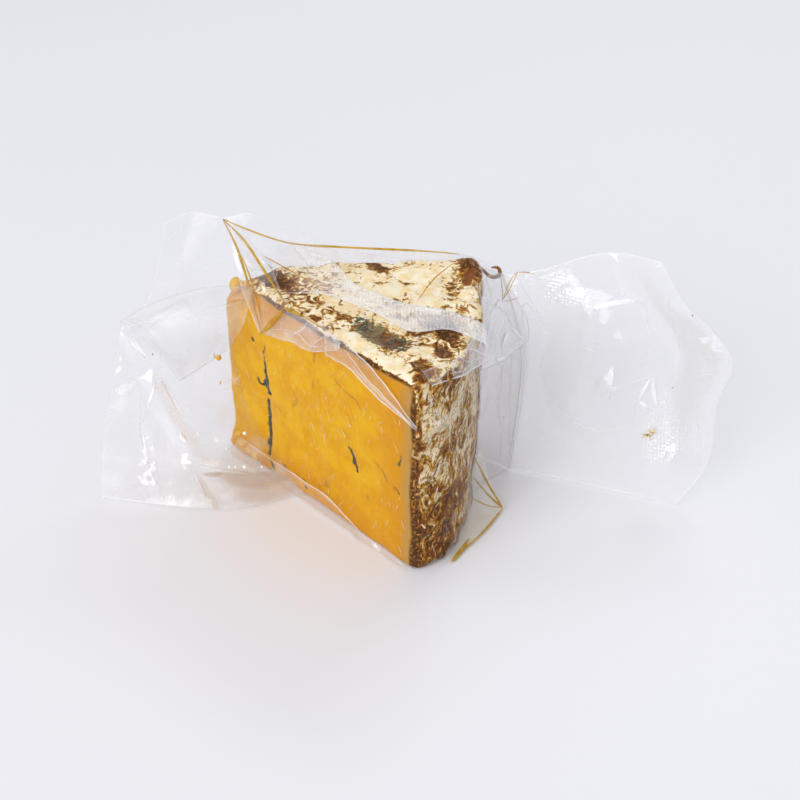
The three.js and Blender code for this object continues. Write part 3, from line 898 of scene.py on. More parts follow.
def sheet_patch(grid, window, facing, rings, spokes):
    """A thin closed piece lying on part of a sheet, with a soft round outline: points, faces and fade."""
    centre_u, centre_v, half_u, half_v, lean = window
    cos_lean, sin_lean = math.cos(math.radians(lean)), math.sin(math.radians(lean))
    route = [(centre_u, centre_v)]
    for ring in range(1, rings + 1):
        for spoke in range(spokes):
            turn = 2.0 * math.pi * spoke / spokes
            far = ring / rings * (1.0 + 0.08 * math.sin(3.0 * turn + centre_u * 9.0))
            along, across = half_u * far * math.cos(turn), half_v * far * math.sin(turn)
            route.append((centre_u + along * cos_lean - across * sin_lean,
                          centre_v + along * sin_lean + across * cos_lean))
    flat = along_points(grid, route)
    out = np.asarray(facing, float) / np.linalg.norm(facing)
    front, back = flat + out * (PATCH_LIFT + PATCH_THICK), flat + out * PATCH_LIFT
    ring_of = np.concatenate([[0.0], np.repeat(np.arange(1, rings + 1), spokes)]) / rings
    fade = np.tile(smooth(0.98, 0.5, ring_of), 2)
    return np.vstack([front, back]), disc_faces(rings, spokes, len(route)), fade


def make_patches(name, patches, rings=14, spokes=40):
    """Patches of sheets, given by grid, window and facing, joined in one mesh."""
    points, faces, fades = [], [], []
    count = 0
    for grid, window, facing in patches:
        some, around, fade = sheet_patch(grid, window, facing, rings, spokes)
        points.append(some)
        faces += [tuple(count + i for i in face) for face in around]
        fades.append(fade)
        count += len(some)
    obj = mesh_from(name, np.vstack(points), faces)
    set_field(obj.data, "fade", np.concatenate(fades))
    return obj


# Which way the two flaps face, and the peak of the film over the tip
LEFT_LEAN = (0.1, -0.94, 0.33)
RIGHT_LEAN = (-0.32, -0.9, 0.3)
PEAK = (-65, 28, 110)

# The sheets of film. Each has its edges, where left and right leave out the corners, the gap between its two
# layers, how much the layers differ, and its crumples. Places on a sheet are u along and v up, from 0 to 1.
# waves are size and height; creases are number, height and width; folds are two ends, height and width;
# stars are middle, reach, spokes and height; crinkles, puffs and lens are middle, reach along and up, height.
# lines and bright are routes of thin creases and of folds that catch the light, with their radius; bright
# folds are milky tubes, partly a painted highlight.
# rims are edges with a strand along them, and fade is where the film fades in from the left.
SHEETS = {
    "film_left_lower": dict(
        facing=LEFT_LEAN, seed=3, gap=0.4, layer=0.5, material="cloudy",
        bottom=[(-120, -10, 1), (-106, -13, 1), (-86, -17, 1), (-60, -17, 1), (-34, -7, 1)],
        top=[(-107, 13, 70), (-88, 14, 74), (-58, 17, 80)],
        left=[(-117, -2, 28), (-112, 6, 49)],
        right=[(-55, 17, 22), (-60, 24, 48)],
        waves=[(38.0, 0.8)], creases=[(12, 0.9, 12.0), (26, 0.5, 4.5)],
        folds=[
            ((0.3, 0.66), (0.52, 0.34), 2.6, 0.07), ((0.02, 0.95), (0.5, 0.72), 2.0, 0.05),
            ((0.52, 0.24), (0.95, 0.14), 2.0, 0.06),
        ],
        stars=[((0.3, 0.62), 0.3, 7, 3.5)],
        crinkles=[
            ((0.27, 0.27), 0.1, 0.36, 3.0), ((0.06, 0.72), 0.1, 0.2, 2.0), ((0.8, 0.3), 0.2, 0.2, 2.0),
        ],
        lines=[
            ([(0.23, 0.59), (0.24, 0.41), (0.26, 0.25), (0.32, 0.04)], 0.3),
            ([(0.34, 0.7), (0.3, 0.56), (0.24, 0.43)], 0.25),
            ([(0.55, 0.23), (0.62, 0.2), (0.72, 0.17), (0.84, 0.13)], 0.7),
            ([(0.5, 0.26), (0.52, 0.12), (0.55, 0.02)], 0.3),
        ],
        bright=[
            ([(0.24, 0.31), (0.28, 0.25), (0.3, 0.27), (0.32, 0.21)], 0.4),
            ([(0.14, 0.87), (0.24, 0.79)], 0.45), ([(0.23, 0.42), (0.235, 0.35), (0.26, 0.3)], 0.3),
            ([(0.27, 0.22), (0.29, 0.14), (0.31, 0.09)], 0.35),
        ],
    ),
    "film_left_upper": dict(
        facing=LEFT_LEAN, seed=11, gap=0.5, layer=0.3, material="soft",
        bottom=[(-107, 13, 69), (-88, 14, 73), (-62, 17, 80), (-34, 22, 86), (-14, 27, 87)],
        top=[
            (-88, 27, 109), (-77, 29, 113), (-64, 27, 112), (-54, 24, 115), (-45, 23, 112),
            (-27, 23, 103), (-14, 27, 90),
        ],
        left=[(-96, 17, 80), (-92, 21, 92)],
        waves=[(44.0, 1.0)], creases=[(7, 0.6, 14.0), (8, 0.2, 4.0)],
        folds=[((0.32, 1.0), (0.55, 0.0), 2.0, 0.06)],
        lines=[
            ([(0.08, 0.79), (0.16, 0.57), (0.25, 0.51), (0.3, 0.62)], 0.16),
            ([(0.02, 0.83), (0.16, 0.88), (0.29, 0.96)], 0.16), ([(0.13, 0.64), (0.16, 0.3)], 0.14),
        ],
    ),
    "film_left_folded": dict(
        facing=LEFT_LEAN, seed=19, gap=1.2, layer=0.3, material="frosted", rims=("bottom",),
        bottom=[(-83, -4, 55), (-74, -1, 60), (-64, 2, 66)],
        top=[(-107, 12, 73), (-94, 14, 80), (-72, 15, 87), (-53, 14, 88)],
        left=[(-88, -1, 62), (-99, 6, 71)],
        right=[(-57, 5, 76)],
        waves=[(40.0, 0.5)], creases=[(6, 0.35, 8.0)],
        folds=[((0.1, 0.75), (0.45, 0.85), 0.8, 0.06)],
        lines=[
            ([(0.05, 0.85), (0.08, 0.5), (0.2, 0.25)], 0.25),
            ([(0.5, 0.89), (0.55, 0.52), (0.76, 0.19)], 0.15),
        ],
    ),
    "film_tent": dict(
        facing=(-0.6, -0.6, 0.5), seed=23, gap=0.2, material="plain",
        bottom=[(-51, 7, 70), (-46, 2, 80), (-38, -4, 90)],
        top=[PEAK, (-56, 27, 102), (-47, 26, 92)],
        left=[(-59, 17, 88)],
        right=[(-44, 10, 94)],
        waves=[(9.0, 0.4)], creases=[(7, 0.8, 5.0)],
    ),
    "film_back_ridge": dict(
        facing=(0, -0.9, 0.4), seed=29, gap=0.2, material="plain",
        bottom=[(-56, 27, 87), (-20, 31, 87), (20, 35, 87), (45, 36, 78)],
        top=[PEAK, (-40, 27, 100), (-4, 31, 95), (28, 34, 91), (47, 37, 82)],
        waves=[(8.0, 0.4)], creases=[(16, 0.8, 5.0)],
        bright=[
            ([(0.235, 0.95), (0.24, 0.15)], 0.35), ([(0.27, 0.9), (0.28, 0.25)], 0.28),
            ([(0.31, 0.9), (0.3, 0.4)], 0.2),
        ],
    ),
    "film_top_band": dict(
        facing=(0, -0.2, 1), seed=31, gap=0.25, material="embossed", rims=("bottom", "top"), fade=0.45,
        bottom=[(-42, 2, 92), (-24, -2, 94), (-5, -12, 92), (8, -24, 91.5), (22, -22, 91), (36, -28, 88)],
        top=[(-46, 24, 103), (-24, 20, 97), (-13, 4, 95), (4, -6, 93), (22, -10, 91.5), (36, -14, 88)],
        waves=[(14.0, 0.5)], creases=[(8, 0.5, 5.0)],
    ),
    "film_rind_web": dict(
        facing=(0.8, -0.6, 0), seed=37, gap=0.2, material="grey",
        bottom=[(34, -8, 1), (41, 0, 1), (51, 9, 1)],
        top=[(31.5, -16, 87), (36, 8, 87), (40, 30, 84), (46, 36, 81)],
        left=[(36, -6, 45)],
        right=[(54, 26, 52)],
        waves=[(14.0, 0.8)], creases=[(10, 1.2, 6.0)],
        lines=[
            ([(1.0, 0.0), (1.0, 0.33), (1.0, 0.66)], 0.28),
            ([(0.67, 0.68), (0.6, 0.41), (0.72, 0.03)], 0.25),
            ([(0.88, 0.64), (0.86, 0.37), (0.94, 0.05)], 0.25),
        ],
    ),
    "film_rind_back": dict(
        facing=(0.4, -0.9, 0), seed=41, gap=0.2, material="frosted",
        bottom=[(31, 22, 1), (40, 17, 1), (51, 9, 1)],
        top=[(33, 34, 86), (40, 36, 83), (46, 36, 81)],
        left=[(34, 31, 45)],
        right=[(54, 26, 52)],
        waves=[(14.0, 0.6)], creases=[(10, 1.0, 6.0)],
    ),
    "film_right_flap": dict(
        facing=RIGHT_LEAN, seed=43, gap=0.4, layer=0.5, material="flap",
        bottom=[(50, 9, 1), (71, 2, 1), (100, -9, 1), (118, -15, 1)],
        top=[(45, 37, 80), (61, 34, 84), (79, 30, 93), (91, 27, 96), (107, 21, 95)],
        left=[(54, 26, 52)],
        right=[(129, -11, 19), (131, -4, 45), (135, -1, 62), (126, 7, 73), (117, 12, 80)],
        waves=[(46.0, 1.2)], creases=[(8, 0.6, 12.0), (12, 0.25, 4.0)],
        folds=[((0.7, 0.95), (0.86, 0.1), 0.7, 0.07), ((0.02, 0.1), (0.06, 0.9), 2.0, 0.05)],
        puffs=[((0.82, 0.19), 0.055, 0.045, 1.8)],
        lens=[((0.42, 0.52), 0.3, 0.36, 4.2)],
        crinkles=[
            ((0.44, 0.44), 0.12, 0.14, 2.2), ((0.7, 0.42), 0.08, 0.14, 2.0),
            ((0.34, 0.88), 0.14, 0.09, 2.0), ((0.42, 0.74), 0.14, 0.12, 1.6),
            ((0.08, 0.8), 0.12, 0.2, 3.0), ((0.93, 0.55), 0.08, 0.3, 1.2),
        ],
        lines=[
            ([(0.14, 0.66), (0.1, 0.52), (0.18, 0.39), (0.31, 0.29), (0.45, 0.26), (0.57, 0.29), (0.62, 0.4)],
             0.16),
            ([(0.6, 0.53), (0.66, 0.68), (0.73, 0.8), (0.59, 0.85), (0.45, 0.86), (0.3, 0.85)], 0.2),
            ([(0.55, 0.46), (0.6, 0.47), (0.65, 0.49)], 0.3),
            ([(0.95, 0.9), (0.79, 0.68), (0.75, 0.48), (0.77, 0.32)], 0.14),
            ([(0.88, 0.48), (0.92, 0.31), (0.96, 0.14)], 0.2),
            ([(0.46, 0.5), (0.47, 0.46), (0.44, 0.4)], 0.5),
            ([(0.32, 0.64), (0.36, 0.6), (0.4, 0.65)], 0.25),
            ([(0.01, 0.75), (0.02, 0.46), (0.03, 0.15)], 0.2), ([(0.99, 0.62), (0.89, 0.62)], 0.2),
            ([(0.98, 0.57), (0.86, 0.59)], 0.2), ([(0.99, 0.51), (0.86, 0.52)], 0.2),
        ],
        bright=[
            ([(0.02, 0.95), (0.07, 0.8), (0.05, 0.66)], 0.3),
            ([(0.03, 0.72), (0.09, 0.86), (0.15, 0.72)], 0.25),
            ([(0.1, 0.97), (0.13, 0.84), (0.17, 0.7)], 0.22),
            ([(0.36, 0.85), (0.5, 0.82), (0.68, 0.79)], 0.28), ([(0.5, 0.45), (0.48, 0.4)], 0.4),
        ],
    ),
    "film_gather": dict(
        facing=(0.3, -0.8, 0.5), seed=71, gap=0.25, material="pale",
        bottom=[(35, -13, 66.5), (44.6, 8, 56.3), (50.3, 17.7, 54.5)],
        top=[(38, 1.6, 79.5), (43.3, 22, 77), (47.8, 21.4, 67.3), (55.8, 21, 57.3)],
        waves=[(9.0, 0.8)], creases=[(9, 0.9, 6.0)],
    ),
    "film_foot_web": dict(
        facing=(0.6, -0.6, 0.5), seed=47, gap=0.2, material="amber",
        bottom=[(22, -50, 1), (34, -36, 1), (46, -18, 1)],
        top=[(21, -41, 9), (30, -26, 16), (37, -5, 24)],
        right=[(40, -10, 12)],
        waves=[(8.0, 0.4)], creases=[(8, 0.8, 4.0)],
    ),
    "film_front_fold": dict(
        facing=(-0.72, -0.69, 0.1), seed=53, gap=0.3, material="milky", rims=("bottom", "right"),
        bottom=[(-50, 4.5, 72.3), (-38, -7.9, 76.3), (-29, -17.1, 78.3), (-19, -27.5, 85.5)],
        top=[(-38.8, -5.4, 90.5), (-33.2, -11.2, 90.5), (-23.4, -21.4, 90.5), (-17.8, -28.0, 89.0)],
        waves=[(9.0, 0.8)], creases=[(16, 1.0, 4.0)],
        lines=[
            ([(0.0, 0.15), (0.35, 0.45), (0.62, 0.2), (0.95, 0.35)], 0.25),
            ([(0.3, 0.05), (0.42, 0.6), (0.4, 0.98)], 0.22),
            ([(0.62, 0.0), (0.66, 0.4), (0.8, 0.9)], 0.25), ([(0.1, 0.6), (0.2, 0.3), (0.34, 0.2)], 0.2),
        ],
    ),
    "film_front_sliver": dict(
        facing=(-0.72, -0.69, 0.1), seed=61, gap=0.25, material="plain",
        bottom=[
            (-24, -22.5, 80.0), (-15.7, -31.2, 80.6), (-10.5, -36.5, 78), (-5, -42, 75.6),
            (1.1, -48.3, 73.4), (10, -57, 71),
        ],
        top=[
            (-24, -21.5, 90.5), (-15.3, -30.4, 90), (-8.5, -38, 88), (-3.8, -42.7, 85), (1.2, -48, 80.5),
            (10, -56.6, 71.8),
        ],
        waves=[(8.0, 0.5)], creases=[(12, 0.7, 3.0)],
        bright=[
            ([(0.0, 0.0), (0.5, 0.0), (1.0, 0.0)], 0.22), ([(0.1, 1.0), (0.5, 1.0), (1.0, 1.0)], 0.22),
            ([(0.2, 0.7), (0.5, 0.45), (0.98, 0.5)], 0.18),
            ([(0.3, 0.3), (0.62, 0.25), (0.98, 0.4)], 0.18),
        ],
    ),
    "film_foot_fold": dict(
        facing=(-0.7, -0.7, 0.3), seed=59, gap=0.3, material="clear", rims=("bottom", "top"),
        bottom=[(-69, 20, 0.6), (-48, -0.5, 0.6), (-29, -18.5, 0.6), (-11, -37.5, 0.6), (6, -54, 0.6)],
        top=[
            (-65, 20, 9.6), (-49.6, 4.1, 9.5), (-37.1, -8.8, 9.6), (-24.1, -22.2, 10), (-11.9, -34.8, 4),
            (4, -51, 3),
        ],
        waves=[(6.0, 0.5)], creases=[(12, 0.8, 3.0)],
    ),
    "film_corner": dict(
        facing=(0.5, -0.8, 0.3), seed=67, gap=0.3, material="plain", rims=("top",),
        bottom=[(15.5, -52, 87), (26, -40, 83), (37, -16, 73)],
        top=[(12, -50, 91.5), (24, -42, 91.5), (33, -22, 91.5)],
        waves=[(9.0, 0.6)], creases=[(14, 1.0, 4.0)],
        lines=[
            ([(0.05, 0.3), (0.4, 0.35), (0.98, 0.1)], 0.25),
            ([(0.2, 0.95), (0.3, 0.4), (0.26, 0.05)], 0.2),
            ([(0.45, 0.9), (0.55, 0.5), (0.9, 0.2)], 0.3),
        ],
        bright=[
            ([(0.0, 0.02), (0.3, 0.0), (0.7, 0.02), (1.0, 0.0)], 0.6),
            ([(0.62, 0.95), (0.82, 0.5), (0.99, 0.04)], 0.5),
        ],
    ),
}


def make_skin(cheese):
    """The film that clings to the cheese and bridges its crags."""
    obj = remeshed("film_skin", cheese.data, 1.25, 10)
    p, n = get_points(obj.data), get_normals(obj.data)
    ripple = 0.22 * rough(p, 6.0, 3, 81) + 0.5 * np.abs(rough(p, 15.0, 2, 82))
    moved = p + n * (0.75 + ripple)[:, None]
    moved[:, 2] = np.maximum(moved[:, 2], 0.02)
    set_points(obj.data, moved)
    return obj


# Faces of the wedge where the clinging film has small wrinkles: a corner, two edges, the way out, how many,
# the mean length and the turn of the wrinkles from the second edge in degrees.
WRINKLED_FACES = [
    ((-66.0, 24.0, 6.0), (72.0, -74.0, 0.0), (0.0, 0.0, 78.0), (-0.72, -0.70, 0.0), 130, 3.0, 25.0),
    ((9.0, -50.0, 89.0), (26.0, 84.0, 0.0), (-70.0, 72.0, 0.0), (0.0, 0.0, 1.0), 60, 6.0, 60.0),
    ((14.0, -51.0, 6.0), (18.0, 50.0, 0.0), (0.0, 0.0, 78.0), (0.92, -0.38, 0.0), 60, 7.0, 12.0),
    ((-64.0, 29.0, 6.0), (96.0, 9.0, 0.0), (0.0, 0.0, 76.0), (-0.1, 0.99, 0.0), 110, 6.0, 30.0),
]

# How far outside a face the search for the film starts, how deep it goes, and how far off it a wrinkle lies.
SEARCH_FROM = 15.0
SEARCH_DEPTH = 22.0
WRINKLE_LIFT = 0.05


def make_wrinkles(skin):
    """Short fine wrinkles lying on the film that clings to the cheese."""
    tree = BVHTree.FromObject(skin, bpy.context.evaluated_depsgraph_get())
    routes = []
    for face, (corner, edge, rise, out, count, length, lean) in enumerate(WRINKLED_FACES):
        corner, edge, rise, out = (np.array(value) for value in (corner, edge, rise, out))
        across, up = edge / np.linalg.norm(edge), rise / np.linalg.norm(rise)
        for i in range(count):
            r = fixed_draws(6, i, face, 97)
            middle = corner + edge * (0.5 + 0.5 * r[0]) + rise * (0.5 + 0.5 * r[1])
            turn = math.radians(lean * (0.4 + 1.6 * r[2]))
            way = up * math.cos(turn) + across * math.sin(turn)
            bow = np.cross(out, way)
            span = length * (1.0 + 0.7 * r[3])
            route = []
            for t in np.linspace(-0.5, 0.5, WRINKLE_POINTS):
                place = middle + way * (span * t) + bow * (span * 0.14 * r[4] * (1.0 - 4.0 * t * t))
                start = Vector((place + out * SEARCH_FROM) * MM)
                hit = tree.ray_cast(start, Vector(-out), SEARCH_DEPTH * MM)[0]
                if hit is not None:
                    route.append(np.array(hit) / MM + out * WRINKLE_LIFT)
            if len(route) == WRINKLE_POINTS:
                routes.append((route, 0.10 + 0.04 * r[5]))
    return make_tubes("film_wrinkles", routes, 5)


# Parts of a sheet that look different: sheet, material, middle u and v, half sizes, turn in degrees.
PATCHES = {
    "film_right_embossed": ("film_right_flap", "bumpy", (0.76, 0.29, 0.14, 0.15, 0)),
    "film_top_embossed": ("film_right_flap", "bumpy", (0.33, 0.89, 0.15, 0.09, 0)),
    "film_right_strip": ("film_right_flap", "beige", (0.85, 0.58, 0.11, 0.42, 0)),
    # Brownish patch in the pocket of the left flap: a painted reflection of the cheese, partly whey held in
    # the pocket.
    "film_pocket": ("film_left_lower", "brownish", (0.78, 0.125, 0.20, 0.055, -14)),
    # A tan stripe that paints the cheese's reflection in the film.
    "film_pocket_painted_reflection": ("film_left_lower", "tan", (0.545, 0.08, 0.028, 0.12, 12)),
    # A darker streak that paints the shade under the pocket's fold.
    "film_pocket_painted_shade": ("film_left_lower", "brownish", (0.605, 0.178, 0.065, 0.014, -3)),
    # Pale tan at the foot of the pocket: also a painted reflection of the cheese, partly whey.
    "film_pocket_foot": ("film_left_lower", "tan", (0.80, 0.05, 0.20, 0.05, -6)),
}

# Painted highlights: milky white patches where folds of each sheet catch the light. Middle u and v, half
# length, half width, turn in degrees.
GLINTS = {
    "film_left_lower": [
        (0.17, 0.87, 0.1, 0.022, -40), (0.445, 0.57, 0.16, 0.016, -52), (0.11, 0.64, 0.09, 0.035, 15),
        (0.25, 0.69, 0.08, 0.012, 8), (0.31, 0.6, 0.1, 0.01, 70), (0.26, 0.3, 0.012, 0.1, 0),
        (0.29, 0.21, 0.022, 0.028, 20), (0.5, 0.37, 0.018, 0.035, 20), (0.56, 0.5, 0.016, 0.02, 0),
        (0.615, 0.235, 0.065, 0.02, -4), (0.7, 0.34, 0.018, 0.016, 0), (0.6, 0.38, 0.014, 0.018, 0),
    ],
    "film_right_flap": [
        (0.637, 0.44, 0.055, 0.011, 71), (0.685, 0.425, 0.072, 0.012, -66),
        (0.648, 0.375, 0.03, 0.012, -27), (0.41, 0.9, 0.045, 0.075, 10), (0.585, 0.8, 0.14, 0.014, 3),
        (0.805, 0.188, 0.022, 0.018, -30), (0.46, 0.49, 0.02, 0.055, 10), (0.3, 0.965, 0.1, 0.01, 2),
    ],
    "film_left_upper": [(0.8, 0.62, 0.05, 0.05, 0)],
    "film_gather": [
        (0.47, 0.93, 0.15, 0.06, 0), (0.86, 0.94, 0.13, 0.06, 0), (0.62, 0.08, 0.13, 0.06, 0),
        (0.7, 0.55, 0.05, 0.26, -10),
    ],
}

# Oil that has run into the folds: lines of fat along the ridges of the film.
OIL_LINES = [
    ([PEAK, (-60, 22, 102), (-56, 16, 91), (-53, 11, 80), (-50.5, 7, 71)], 0.6),
    ([PEAK, (-57, 24, 103), (-50, 15, 97), (-44, 5, 93), (-38.5, -4, 90)], 0.6),
    ([(-61.5, 24, 104), (-55, 15, 94), (-51, 8, 82), (-50, 6.5, 73)], 0.3),
    ([PEAK, (-58, 27, 107), (-40, 27, 100), (-20, 29, 97), (-4, 31, 95), (12, 33, 93), (28, 34, 91)], 0.5),
    ([(-51.4, 5.1, 71.2), (-45.2, -1.2, 80.4), (-39.7, -6.2, 90.4)], 1.0),
    ([(-39.7, -6.2, 90.6), (-36.2, -9.4, 91), (-33.0, -12.4, 91)], 0.8),
    ([(34, -8, 21), (40, -14, 11), (46, -18, 2)], 0.5),
    ([(34, -12, 13), (40, -16, 7), (46, -18, 2)], 0.5),
    ([(33, -15, 5), (40, -18, 3), (46, -18, 2)], 0.4),
    ([(46, -18, 1.5), (36, -34, 1.4), (25, -47, 1.4)], 0.5),
    ([(24.3, -49.3, 1.2), (28.4, -42.4, 1.4), (31.5, -36.0, 1.4)], 1.1),
    ([(-50.4, 27.5, 94), (-41.1, 19.7, 93), (-24.7, 4.5, 92)], 0.3),
    ([(10.8, -1.3, 91), (17.6, 15.1, 91), (25.8, 27.5, 91)], 0.35),
    ([(-38.8, -5.5, 90.5), (-33.4, -10.8, 90.5), (-24, -21, 90.5)], 0.35),
    ([(45, 36, 80), (45.8, 33, 74), (45.6, 29.4, 71)], 0.22),
    ([(45.6, 29.4, 72.1), (49, 34.3, 74.8), (51.8, 35.8, 81.5)], 0.25),
    ([(45.8, 30.5, 71.5), (49.6, 35.5, 79.0), (51.9, 35.8, 81.7)], 0.22),
    ([(51.8, 35.8, 81.5), (55, 35.0, 82.0), (58, 34.2, 81.9)], 0.25),
    ([(45.6, 29.4, 71.6), (49.5, 31.2, 71.0), (53.1, 32.4, 72)], 0.18),
]

# The brown curl of film at the back corner
CURL_RADIUS = 1.0
CURL = [
    (34.5, 37, 85), (38.2, 37, 81.5), (40.5, 37, 79), (43.0, 37, 78.6), (44.8, 37, 80), (43.8, 37, 83),
    (41, 37, 83),
]


def make_tubes(name, lines, sides=8):
    """Thin round strands along smooth curves, joined in one mesh; a route of many points is kept as it is."""
    points, faces = [], []
    turns = [2.0 * math.pi * k / sides for k in range(sides)]
    for route, radius in lines:
        centre = np.asarray(route, float)
        if len(centre) < WRINKLE_POINTS:
            count = max(6, round(line_length(centre) / 1.2))
            centre = curve(centre, np.linspace(0.0, 1.0, count))
        count = len(centre)
        along = np.gradient(centre, axis=0)
        along /= np.linalg.norm(along, axis=1)[:, None]
        side = np.cross(along, (0.31, 0.52, 0.79))
        side /= np.linalg.norm(side, axis=1)[:, None]
        other = np.cross(along, side)
        thick = radius * (0.85 + 0.3 * noise(centre + radius * 90.0, 9.0, 7))
        ends = np.sin(np.pi * np.linspace(0.0, 1.0, count)).clip(0.0, 1.0)
        thick *= 0.25 + 0.75 * np.sqrt(ends)
        base = len(points)
        for i in range(count):
            for turn in turns:
                points.append(centre[i] + thick[i] * (math.cos(turn) * side[i] + math.sin(turn) * other[i]))
        for i in range(count - 1):
            for k in range(sides):
                here, after = base + i * sides + k, base + i * sides + (k + 1) % sides
                faces.append((here, after, after + sides, here + sides))
        faces.append(tuple(base + k for k in reversed(range(sides))))
        faces.append(tuple(base + (count - 1) * sides + k for k in range(sides)))
    return mesh_from(name, points, faces)


# A bit of paste pushed up at the tip
NUB = (-61.0, 21.6, 84.0)

# Small loose bits inside the bag: x, y, z, size, and how many lie close together.
ORANGE_CRUMBS = [
    (-68.2, 6.0, 59.8, 1.9, 1), (-68.9, 6.0, 61.2, 1.3, 3), (-68.1, 2.4, 50.1, 0.6, 3),
    (-66, 3.5, 46, 0.4, 2), (-63.6, 21.2, 5.2, 3.8, 1), (-60.6, 18.0, 4.0, 3.2, 1),
    (-65.0, 22.5, 9.4, 2.8, 1), (-57.6, 14.6, 3.4, 2.6, 1), (NUB[0], NUB[1], NUB[2], 3.2, 1),
    (NUB[0] + 2.0, NUB[1] - 2.0, NUB[2], 2.4, 3),
]
DARK_CRUMBS = [
    (104.7, -2.6, 27.6, 0.8, 6), (106.6, -2.6, 28.6, 0.6, 5), (45.9, -2.0, 36.0, 0.4, 1),
    (118.8, 9.6, 77.2, 0.35, 1), (113.1, 1.6, 48.1, 0.3, 1), (-94.0, 5.0, 62.0, 0.35, 1),
    (-88.0, 3.0, 64.0, 0.3, 1),
]
PALE_CRUMBS = [
    (105.5, -2.6, 28.8, 1.0, 12), (103.4, -2.8, 27.2, 0.8, 8), (107.4, -2.6, 29.4, 0.8, 8),
    (106.0, -2.8, 26.4, 0.7, 6),
]
# Drops of moisture, drawn as opaque whitish balls: their white is a painted highlight.
DROPS = [
    (-58.6, -6.2, 31.2, 0.8, 1), (-65.2, -11.2, 17.9, 0.9, 1), (-62.7, -11.3, 18.0, 0.8, 1),
    (-59.0, -11.6, 18.2, 0.9, 1), (-52.0, -12.0, 18.6, 0.9, 1), (-66.0, -9.0, 26.0, 0.7, 2),
]

# The kinds of loose bits: piece, places, seed, and the name, tones and roughness of its material.
BITS = [
    ("crumbs_of_paste", ORANGE_CRUMBS, 3, ("crumb_orange", ORANGE, PALE_ORANGE)),
    ("dark_specks", DARK_CRUMBS, 5, ("crumb_dark", BROWN, GREY_TAN)),
    ("crumbs_of_rind", PALE_CRUMBS, 7, ("crumb_pale", WHITE_BLOOM, PALE_OCHRE)),
    ("drops", DROPS, 9, ("drop", DROP_HIGHLIGHT_WHITE, DROP_HIGHLIGHT_CREAM, 0.1)),
]


def ball_faces(base, rings, spokes):
    """Faces of a ball of rings and spokes whose points start at number base with its top."""
    faces = []
    last = base + 1 + (rings - 1) * spokes
    for k in range(spokes):
        after = (k + 1) % spokes
        faces.append((base, base + 1 + k, base + 1 + after))
        for i in range(rings - 2):
            a = base + 1 + i * spokes
            faces.append((a + k, a + spokes + k, a + spokes + after, a + after))
        a = base + 1 + (rings - 2) * spokes
        faces.append((a + k, last, a + after))
    return faces


def make_bits(name, places, seed, rings=6, spokes=8):
    """Small uneven lumps, some of them in clusters, joined in one mesh."""
    points, faces = [], []
    count = 0
    for x, y, z, size, number in places:
        spread, scale, rugged = (1.1 * size, 0.55, 0.35) if number > 1 else (0.0, 1.0, 0.15)
        for _ in range(number):
            r = fixed_draws(5, count, 9, seed)
            centre = np.array([x + spread * r[0], y + 0.15 * spread * r[1], z + spread * r[2]])
            radius = size * (0.7 + 0.3 * r[3]) * scale
            faces += ball_faces(len(points), rings, spokes)
            for i in range(rings + 1):
                tilt = math.pi * i / rings
                for k in range(spokes if 0 < i < rings else 1):
                    turn = 2.0 * math.pi * k / spokes
                    flat = math.sin(tilt)
                    way = np.array([flat * math.cos(turn), flat * math.sin(turn), math.cos(tilt)])
                    uneven = 1.0 + rugged * float(noise((way * 1.3 + count * 7.0)[None], 1.0, seed)[0])
                    points.append(centre + radius * uneven * way)
            count += 1
    return mesh_from(name, points, faces)


def plain_material(name, first, second, roughness=0.5):
    s = Shader(name)
    tone = s.mix(s.step(0.4, 0.6, s.noise(0.8, 2.0)), first, second)
    return s.finish(s.solid(tone, roughness))


# Stage

def make_floor():
    bpy.ops.mesh.primitive_plane_add(size=FLOOR_SIZE)
    floor = bpy.context.object
    floor.name = "floor"
    s = Shader("floor")
    tone = s.mix(s.noise(400.0, 2.0), FLOOR_GREY, FLOOR_PALE)
    dressed(floor, s.finish(s.solid(tone, 0.42)))


def make_camera():
    camera = add_object("camera", bpy.data.cameras.new("camera"))
    camera.data.lens = CAMERA_LENS
    camera.data.sensor_width = SENSOR
    x, y, z = CAMERA_TARGET
    camera.location = (
        x * MM,
        (y - CAMERA_DISTANCE * math.cos(CAMERA_ELEVATION)) * MM,
        (z + CAMERA_DISTANCE * math.sin(CAMERA_ELEVATION)) * MM,
    )
    camera.rotation_euler = (math.pi / 2 - CAMERA_ELEVATION, 0.0, 0.0)
    camera.data.clip_start = 0.01
    scene.camera = camera


def make_lights():
    world = bpy.data.worlds.new("world")
    world.use_nodes = True
    background = world.node_tree.nodes["Background"]
    background.inputs["Color"].default_value = WORLD_COLOUR
    background.inputs["Strength"].default_value = WORLD_STRENGTH
    scene.world = world
    for name, place, aim, size, power, colour in LIGHTS:
        light = bpy.data.lights.new(name, "AREA")
        light.shape = "RECTANGLE"
        light.size, light.size_y = size
        light.energy = power
        light.color = colour
        obj = add_object(name, light)
        obj.location = place
        obj.rotation_euler = (Vector(aim) - Vector(place)).to_track_quat("-Z", "Y").to_euler()


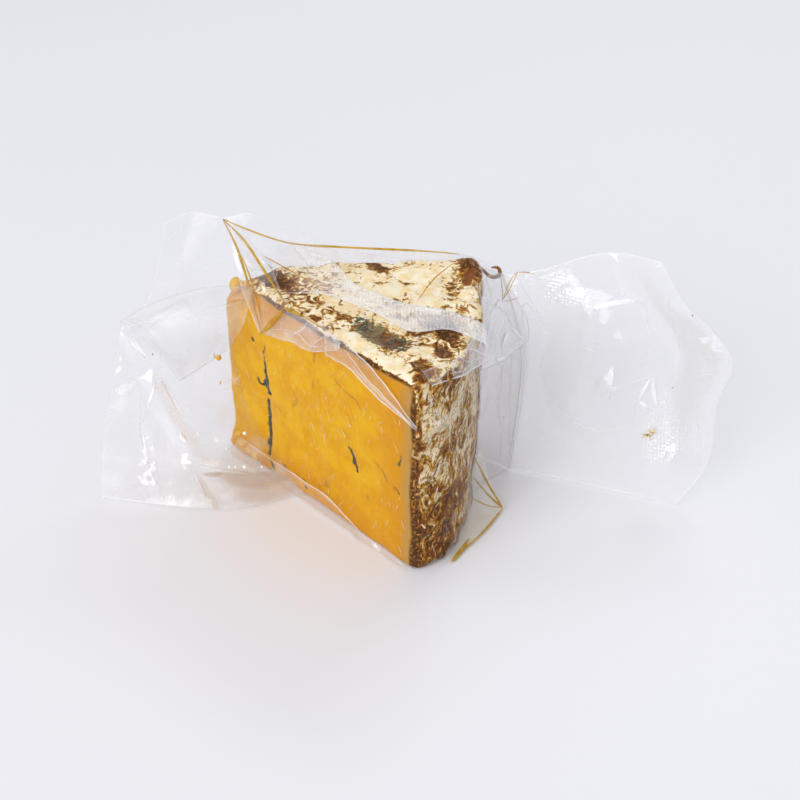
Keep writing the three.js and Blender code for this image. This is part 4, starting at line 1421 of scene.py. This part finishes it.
def make_strands(grids):
    """Creases, hems and bright folds of all the sheets, three pieces in all; the bright folds are milky tubes
    that partly paint highlights.
    """
    creases, hems, bright = [], [], []
    for name, spec in SHEETS.items():
        rims = hems if spec["material"] == "frosted" else creases
        rims += [(along_sheet(grids[name], SIDES[side]), RIM_RADIUS) for side in spec.get("rims", ())]
        creases += [(along_sheet(grids[name], route), radius) for route, radius in spec.get("lines", ())]
        bright += [(along_sheet(grids[name], route), radius) for route, radius in spec.get("bright", ())]
    return [
        (make_tubes("film_creases", creases, 6), "line"),
        # Hems of frosted film, tinted as a painted reflection of the cheese.
        (make_tubes("film_hems", hems, 6), "edge"),
        (make_tubes("film_folds_with_painted_highlight", bright, 6), "bright"),
    ]


def make_bag(cheese):
    """All the film: the skin on the cheese, the free sheets, their creases and their patches, among them
    milky patches that paint highlights.
    """
    skin = make_skin(cheese)
    films = [(skin, "skin")]
    grids = {}
    for name, spec in SHEETS.items():
        sheet, grids[name] = film_sheet(name, spec)
        films.append((sheet, spec["material"]))
    films += make_strands(grids)
    films.append((make_wrinkles(skin), "line"))
    # Milky patches that paint the highlights of folds.
    glints = [(grids[sheet], window, SHEETS[sheet]["facing"]) for sheet in GLINTS for window in GLINTS[sheet]]
    films.append((make_patches("film_painted_highlights", glints, 6, 24), "glint"))
    for name, (sheet, material, window) in PATCHES.items():
        films.append((make_patches(name, [(grids[sheet], window, SHEETS[sheet]["facing"])]), material))
    materials = {name: film_material("film_" + name, **settings) for name, settings in FILMS.items()}
    return [dressed(film, materials[name]) for film, name in films]


def make_contents():
    """What else is inside the bag: oil, the curl at the back corner, crumbs, specks and drops."""
    pieces = [
        dressed(make_tubes("oil_in_folds", OIL_LINES), oil_material()),
        dressed(make_tubes("curl_of_film", [(CURL, CURL_RADIUS)]), curl_material()),
    ]
    for name, places, seed, paint in BITS:
        pieces.append(dressed(make_bits(name, places, seed), plain_material(*paint)))
    return pieces


def main():
    make_camera()
    make_lights()
    make_floor()
    cheese = make_cheese()
    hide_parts("cheese_wedge")
    films = make_bag(cheese)
    for film in films:
        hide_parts("vacuum_bag")
    contents = make_contents()
    for piece in [cheese, *films, *contents]:
        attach(piece, "root")


main()
